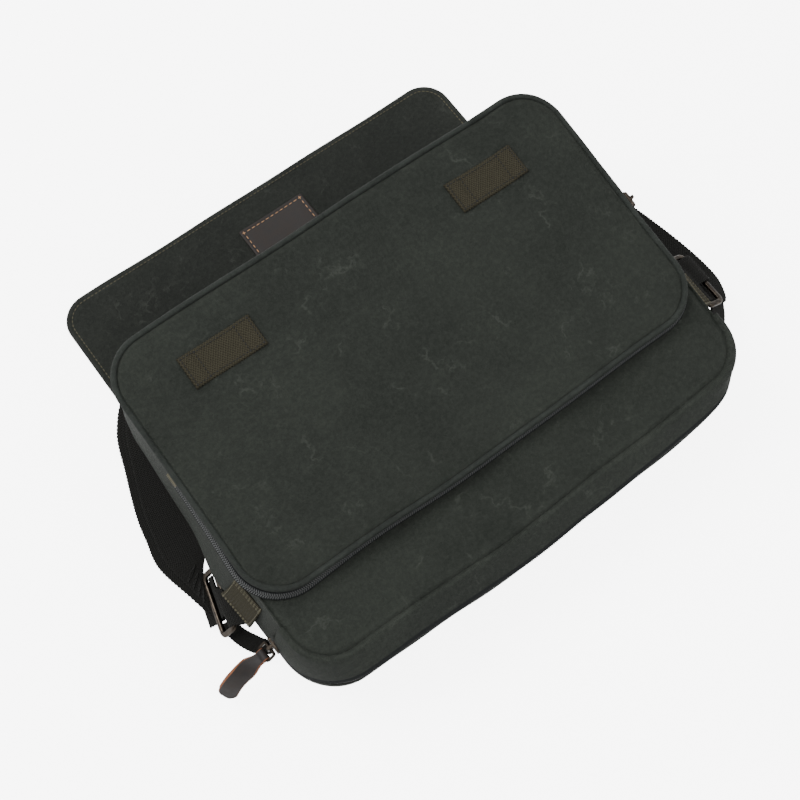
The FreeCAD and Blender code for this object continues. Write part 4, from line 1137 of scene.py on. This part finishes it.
PATCHES = {
    "left": [
        (-182.6, -41.0, 63.0, -181.0, -68.0, 64.0),
        (-187.6, -39.5, 51.0, -185.6, -67.0, 52.0),
        (-191.6, -36.5, 38.0, -189.0, -65.5, 39.0),
        (-193.6, -33.0, 26.5, -191.4, -63.6, 27.0)],
    "right": [
        (185.6, -46.0, 72.0, 184.6, -75.3, 68.5),
        (190.2, -45.6, 65.0, 189.4, -74.4, 62.0),
        (194.6, -45.0, 57.0, 194.9, -72.6, 55.5),
        (196.4, -44.5, 51.5, 196.6, -71.6, 51.5)],
}
LOOPS = {
    "left": [
        (-192.0, -32.0, 28.5, -191.0, -61.5, 27.5),
        (-193.5, -29.0, 26.4, -196.6, -57.0, 26.0),
        (-195.4, -26.5, 23.6, -201.4, -54.5, 23.0),
        (-194.4, -25.5, 20.0, -201.0, -53.8, 19.4),
        (-191.0, -25.0, 18.2, -197.2, -54.6, 17.0),
        (-188.5, -26.0, 15.0, -193.0, -56.0, 14.0)],
    "right": [
        (194.0, -43.0, 51.5, 194.6, -70.4, 51.5),
        (198.0, -40.5, 49.6, 198.4, -69.4, 49.6),
        (201.4, -39.5, 47.4, 201.6, -69.0, 47.4),
        (201.4, -39.2, 44.2, 201.4, -69.0, 44.2),
        (198.0, -39.2, 42.4, 198.0, -69.4, 42.4),
        (193.0, -40.0, 39.0, 193.0, -70.4, 39.0)],
}
LEGS = {
    "left": [
        (-206.5, -46.0, 9.0, -197.0, -48.0, 14.0),
        (-205.4, -56.0, 8.4, -194.6, -58.0, 13.0),
        (-202.6, -66.0, 7.6, -190.8, -66.0, 12.6),
        (-197.5, -75.0, 7.0, -186.5, -73.0, 12.0),
        (-189.0, -82.0, 7.0, -181.0, -78.0, 12.0)],
    "right": [
        (220.0, -68.0, 20.0, 208.0, -65.5, 31.0),
        (214.5, -77.0, 16.5, 203.0, -73.0, 28.0),
        (204.5, -88.0, 12.0, 196.0, -83.0, 22.0),
        (190.0, -98.0, 9.0, 185.0, -93.0, 17.0)],
}
for word in ("left", "right"):
    sign = RINGS[word][0]
    patch, middle, across = ruled("tab_patch_" + word, PATCHES[word], OLIVE)
    # Painted shade: each side tab is olive webbing, but its loop round the ring's near bar lies
    # in shade, so the loop is painted with the black strap webbing.
    loop = ruled("tab_loop_" + word, LOOPS[word], STRAP)[0]
    leg = ruled("tab_leg_" + word, LEGS[word], STRAP, ribs=0.05)[0]
    whole = join("side_tab_webbing_" + word, [patch, loop, leg])
    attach(whole, "bag")
    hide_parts("side_tab_" + word)
    normal = unit(np.cross(tangents(middle), across))
    normal = normal * np.sign(normal[:, :1] * sign)
    seams = []
    for j, shift in enumerate((-13.0, 13.0)):
        line = middle + across * shift + normal * 0.95
        seams.append(stitch_line("tab_row_%d" % j, line, normal, KHAKI,
                                 pitch=3.0, length=2.2, keep=True))
    for j, at in enumerate((4, 8, 12, -5, -9, -13)):
        ends = np.linspace(-13, 13, 24)[:, None]
        line = middle[at] + normal[at] * 0.95 + across[at] * ends
        seams.append(stitch_line("tab_cross_%d" % j, line, normal[at], KHAKI,
                                 pitch=2.6, length=2.0, keep=True))
    seam = join("tab_stitching_" + word, seams)
    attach(seam, "bag")

# ---- leather pulls -----------------------------------------------------------


def leather_pull(name, pivot, along, up, wide, bend, body, node, twist=0.0):
    """One strip of leather folded round the wire loop, its two plies lying together."""
    bar = 8.0
    reach = 46.0
    low, high = [], []
    for f in np.linspace(0, 1, 9)[1:]:
        x = bar + reach * f
        h = bend(f)
        slack = 0.25 + 1.1 * ease(0.75, 1.0, f)
        high.append((x, h + 0.85 + 0.2 * slack))
        low.append((x, h - 0.85 - 0.9 * slack))
    fold = [(bar + 2.2, 1.9), (bar - 0.6, 2.1), (bar - 2.1, 0.0), (bar - 0.6, -2.1),
            (bar + 2.2, -1.9)]
    keys = high[::-1] + fold + low
    k = resample(np.pad(spline(keys, 400), ((0, 0), (0, 1))), 0.5)
    out = k[:, 0] - bar
    spine = np.array([bend(f) for f in np.clip(out / reach, 0, 1)])[:, None]
    turn = twist * ease(4.0, 22.0, out)[:, None]
    ply = k[:, 1:2] - spine
    path = (pivot + along * k[:, :1] + up * (spine + ply * np.cos(turn))
            + wide * ply * np.sin(turn))
    wide = wide * np.cos(turn) - up * np.sin(turn)
    widths = 8.2 + 5.2 * ease(3.0, 13.0, out)
    tip = np.clip((reach - out) / 6.0, 0.02, 1)
    widths = widths * np.sqrt(1 - (1 - tip) ** 2)
    obj = ribbon(name, path, wide, 13.4, 1.5, [LEATHER, RAW_EDGE],
                 body, widths=widths, across=12)
    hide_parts(node)
    return obj


slope = math.radians(43.7)
along = np.array([-math.cos(slope), 0, -math.sin(slope)])
up = np.array([-math.sin(slope), 0, math.cos(slope)])
leather_pull("mouth_leather_pull", joint_point("main_pull_swing"), along, up,
             np.array([0.0, 1.0, 0.0]),
             lambda f: 7.0 * math.sin(math.pi * min(1, f * 1.02)), "main_pull",
             "main_leather_pull", math.radians(-40))
tilt = POCKET_TILT
p_normal = np.array([0, -math.sin(tilt), math.cos(tilt)])
p_along = np.array([0, math.cos(tilt), math.sin(tilt)])
leather_pull("pocket_leather_pull_strip", joint_point("pocket_pull_swing"), -p_normal,
             np.array([1.0, 0, 0]), p_along,
             lambda f: 0.6 * f, "pocket_pull", "pocket_leather_pull")

# ---- finishes of the CAD pieces that stay ------------------------------------
FINISH = {
    "strap_ring_left": METAL, "strap_ring_right": METAL, "strap_adjuster": METAL,
    "main_slider": METAL, "pocket_slider": METAL, "main_pull_loop": METAL,
    "pocket_pull_loop": METAL, "main_rivet": BRASS, "pocket_rivet": BRASS,
    "base_board": BOARD, "pocket_magnet_left": STEEL, "pocket_magnet_right": STEEL,
    "flap_magnet_left": STEEL, "flap_magnet_right": STEEL,
}
for node, material in FINISH.items():
    mesh = frame["nodes"][node].data
    mesh.materials.clear()
    mesh.materials.append(material)

# ---- studio ------------------------------------------------------------------
floor_mesh = bpy.data.meshes.new("studio_floor")
reach = 6.0
floor_mesh.from_pydata(
    [(-reach, -reach, -0.0006), (reach, -reach, -0.0006), (reach, reach, -0.0006),
     (-reach, reach, -0.0006)], [], [(0, 1, 2, 3)])
floor = bpy.data.objects.new("studio_floor", floor_mesh)
bpy.context.scene.collection.objects.link(floor)
paper, tree, paper_shader = shader("studio_floor", (0.93, 0.93, 0.93), 0.9, specular=0.02)
seen = new_node(tree, "ShaderNodeLightPath").outputs["Is Camera Ray"]
paper_shader.inputs["Emission Color"].default_value = (1, 1, 1, 1)
tree.links.new(math_node(tree, "MULTIPLY", seen, 6.0), paper_shader.inputs["Emission Strength"])
floor_mesh.materials.append(paper)


def area_light(name, place, target, power, size):
    data = bpy.data.lights.new(name, "AREA")
    data.energy = power
    data.shape = "SQUARE"
    data.size = size
    obj = bpy.data.objects.new(name, data)
    bpy.context.scene.collection.objects.link(obj)
    obj.location = place
    obj.rotation_euler = (Vector(target) - Vector(place)).to_track_quat("-Z", "Y").to_euler()
    return obj


area_light("key", (-0.9, 1.1, 1.9), (0, 0, 0.05), 62, 1.6)
area_light("fill", (0.9, -1.3, 1.6), (0, 0, 0.05), 24, 1.8)
world = bpy.data.worlds.new("studio")
world.use_nodes = True
world.node_tree.nodes["Background"].inputs[0].default_value = (1, 1, 1, 1)
world.node_tree.nodes["Background"].inputs[1].default_value = 0.9
bpy.context.scene.world = world

# camera: height, distance and lens that fit the bag's outlines
camera_data = bpy.data.cameras.new("camera")
camera_data.lens = 67.5
camera_data.sensor_width = 36.0
camera_data.clip_end = 50
camera = bpy.data.objects.new("camera", camera_data)
bpy.context.scene.collection.objects.link(camera)
azimuth, elevation = math.radians(-36.6), math.radians(67.9)
target = Vector(row(-21.0, 0.0, 50.0))
back = Vector((math.sin(azimuth) * math.cos(elevation), -math.cos(azimuth) * math.cos(elevation),
               math.sin(elevation)))
camera.location = target + back * 1.027
camera.rotation_euler = (-back).to_track_quat("-Z", "Y").to_euler()
bpy.context.scene.camera = camera
